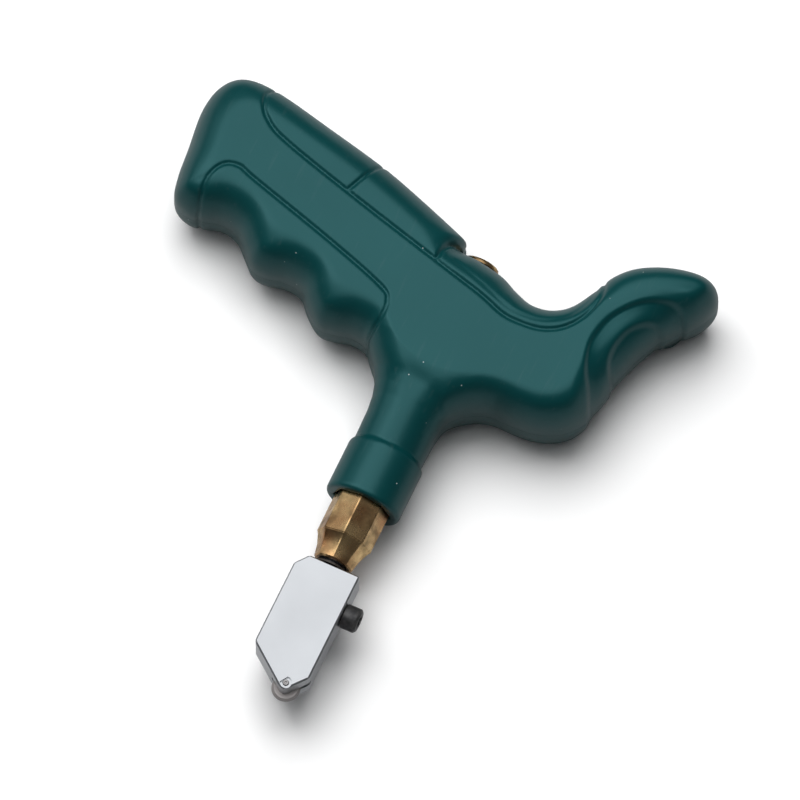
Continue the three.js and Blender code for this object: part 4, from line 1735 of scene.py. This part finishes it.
@dataclass
class InnerPieces:
    """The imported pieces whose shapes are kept, each with its own finish."""

    spring_steel: PlainMetal

    def build(self) -> None:
        """Dresses each kept node."""
        screw_steel = PlainMetal("Zinc-plated screw steel", (0.55, 0.56, 0.58), 0.32).material()
        spring_steel = self.spring_steel.material()
        rubber = SoftMaterial("Nitrile rubber", (0.02, 0.02, 0.02), 0.62, grain=1800.0).material()
        felt = SoftMaterial("Wool felt", (0.6, 0.54, 0.43), 0.93, grain=5000.0, grain_strength=0.8)
        brass = TarnishedBrass("Inner brass", (0.78, 0.55, 0.24), 0.32, tarnish=0.3).material()
        nylon = SoftMaterial("Dark nylon", (0.03, 0.022, 0.016), 0.45, grain=1200.0, grain_strength=0.1)
        finishes = {
            "barrel_retaining_ring": spring_steel,
            "oil_cap_seal": rubber,
            "valve_seat": brass,
            "valve_poppet": rubber,
            "stem_retaining_ring": spring_steel,
            "stem_seal": rubber,
            "stem": screw_steel,
            "swivel_washer": nylon.material(),
            "oil_wick": felt.material(),
            "clamp_pad": brass,
        }
        finishes.update(dict.fromkeys(SHELL_SCREWS, screw_steel))
        for node, material in finishes.items():
            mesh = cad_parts[node].data
            mesh.materials.clear()
            mesh.materials.append(material)
            LOG.info("%s: dressed in %s", node, material.name)


# ------------------------------------------------------------------------------------------------- studio


@dataclass(frozen=True)
class SoftBox:
    """One rectangular studio light that faces the tool."""

    name: str
    place: tuple[float, float, float]
    size: tuple[float, float]
    power: float
    glossy: bool = True

    def build(self, target: Vector) -> None:
        """Makes the light and turns it to the target.

        Args:
            target: The point that the light faces.
        """
        data = bpy.data.lights.new(self.name, "AREA")
        data.shape = "RECTANGLE"
        data.size, data.size_y = self.size
        data.energy = self.power
        light = add_object(self.name, data)
        light.visible_glossy = self.glossy
        light.location = self.place
        light.rotation_euler = (target - Vector(self.place)).to_track_quat("-Z", "Y").to_euler()


@dataclass
class Studio:
    """Pale floor, soft lights and the camera."""

    azimuth: float = 25.0
    elevation: float = 69.0
    distance: float = 4.0
    view_width: float = 0.176
    sensor_width: float = 36.0
    nearest: float = 0.05
    aim: Point2 = (-0.0029, -0.0158)
    lights: tuple[SoftBox, ...] = (
        SoftBox("key_light", (-0.22, 0.18, 1.20), (1.35, 1.5), 8.3),
        SoftBox("side_light", (-1.0, 0.05, 0.9), (0.6, 1.2), 2.4),
        SoftBox("fill_light", (-0.3, 0.4, 1.2), (1.1, 1.1), 15.0, glossy=False),
    )

    def build(self) -> None:
        """Makes the floor, the world, the lights and the camera."""
        target = Vector((self.aim[0], self.aim[1], AXIS_HEIGHT))
        self.build_floor()
        self.build_world()
        for light in self.lights:
            light.build(target)
        self.build_camera(target)

    @staticmethod
    def build_floor(reach: float = 3.0, sink: float = 0.0002) -> None:
        """Makes the pale floor.

        Args:
            reach: Half its width, in metres.
            sink: How far it lies below the tool, in metres.
        """
        corners = [(-reach, -reach, 0.0), (reach, -reach, 0.0), (reach, reach, 0.0), (-reach, reach, 0.0)]
        mesh = bpy.data.meshes.new("floor")
        mesh.from_pydata(corners, [], [[0, 1, 2, 3]])
        material = bpy.data.materials.new("Pale floor")
        material.use_nodes = True
        nodes = NodeTree(material.node_tree)
        shader = material.node_tree.nodes["Principled BSDF"]
        seen = nodes.add("LightPath").outputs["Is Camera Ray"]
        paper = nodes.mix(seen, (0.45, 0.45, 0.45), (0.95, 0.95, 0.95))
        nodes.tree.links.new(paper, shader.inputs["Base Color"])
        shader.inputs["Roughness"].default_value = 0.9
        shader.inputs["Specular IOR Level"].default_value = 0.1
        mesh.materials.append(material)
        floor = add_object("floor", mesh)
        floor.location.z = -sink

    @staticmethod
    def build_world() -> None:
        """Makes an even pale surround."""
        world = bpy.data.worlds.new("Surround")
        world.use_nodes = True
        background = world.node_tree.nodes["Background"]
        background.inputs["Color"].default_value = (0.95, 0.97, 1.0, 1.0)
        background.inputs["Strength"].default_value = 0.08
        bpy.context.scene.world = world
        bpy.context.scene.view_settings.view_transform = "Standard"

    def build_camera(self, target: Vector) -> None:
        """Makes a long lens that looks down on the tool's side.

        Args:
            target: The point at the middle of the picture.
        """
        turn, rise = math.radians(self.azimuth), math.radians(self.elevation)
        away = Vector((math.cos(rise) * math.sin(turn), -math.cos(rise) * math.cos(turn), math.sin(rise)))
        data = bpy.data.cameras.new("camera")
        data.sensor_width = self.sensor_width
        data.lens = data.sensor_width * self.distance / self.view_width
        data.clip_start = self.nearest
        camera = add_object("camera", data)
        camera.location = target + away * self.distance
        camera.rotation_euler = (-away).to_track_quat("-Z", "Y").to_euler()
        bpy.context.scene.camera = camera


class Part(Protocol):
    """Anything that main builds."""

    def build(self) -> None:
        """Adds the part to the scene."""


def main() -> None:
    """Builds the studio and every piece, in order."""
    logging.basicConfig(level=logging.INFO, format="%(name)s: %(message)s")
    wheel_low, wheel_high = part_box("cutting_wheel")
    wheel_centre = tuple((wheel_low + wheel_high) / 2)
    plastic = MouldedPlastic("Green moulded plastic", (0.0008, 0.040, 0.042), 0.32)
    brass = TarnishedBrass("Tarnished brass", (0.95, 0.67, 0.33), 0.22)
    steel = PolishedSteel("Ground and plated steel", (0.565, 0.585, 0.61), 0.30)
    oxide = BlackOxide("Black oxide", (0.035, 0.036, 0.038), 0.38)
    carbide = GroundMetal("Ground carbide", (0.40, 0.375, 0.37), 0.42, centre=wheel_centre)
    axle_steel = PlainMetal("Axle steel", (0.42, 0.41, 0.41), 0.35)
    spring_steel = PlainMetal("Spring steel", (0.36, 0.36, 0.38), 0.38)
    parts: tuple[Part, ...] = (
        Studio(),
        HandleShells(plastic),
        OilBarrel(brass),
        OilCap(brass),
        ClampScrew(oxide),
        CuttingHead(steel),
        CuttingWheel(carbide),
        WheelAxle(axle_steel),
        ValveSpring(spring_steel),
        InnerPieces(spring_steel),
    )
    for part in parts:
        part.build()
        LOG.info("built %s", type(part).__name__)


if __name__ == "__main__":
    main()
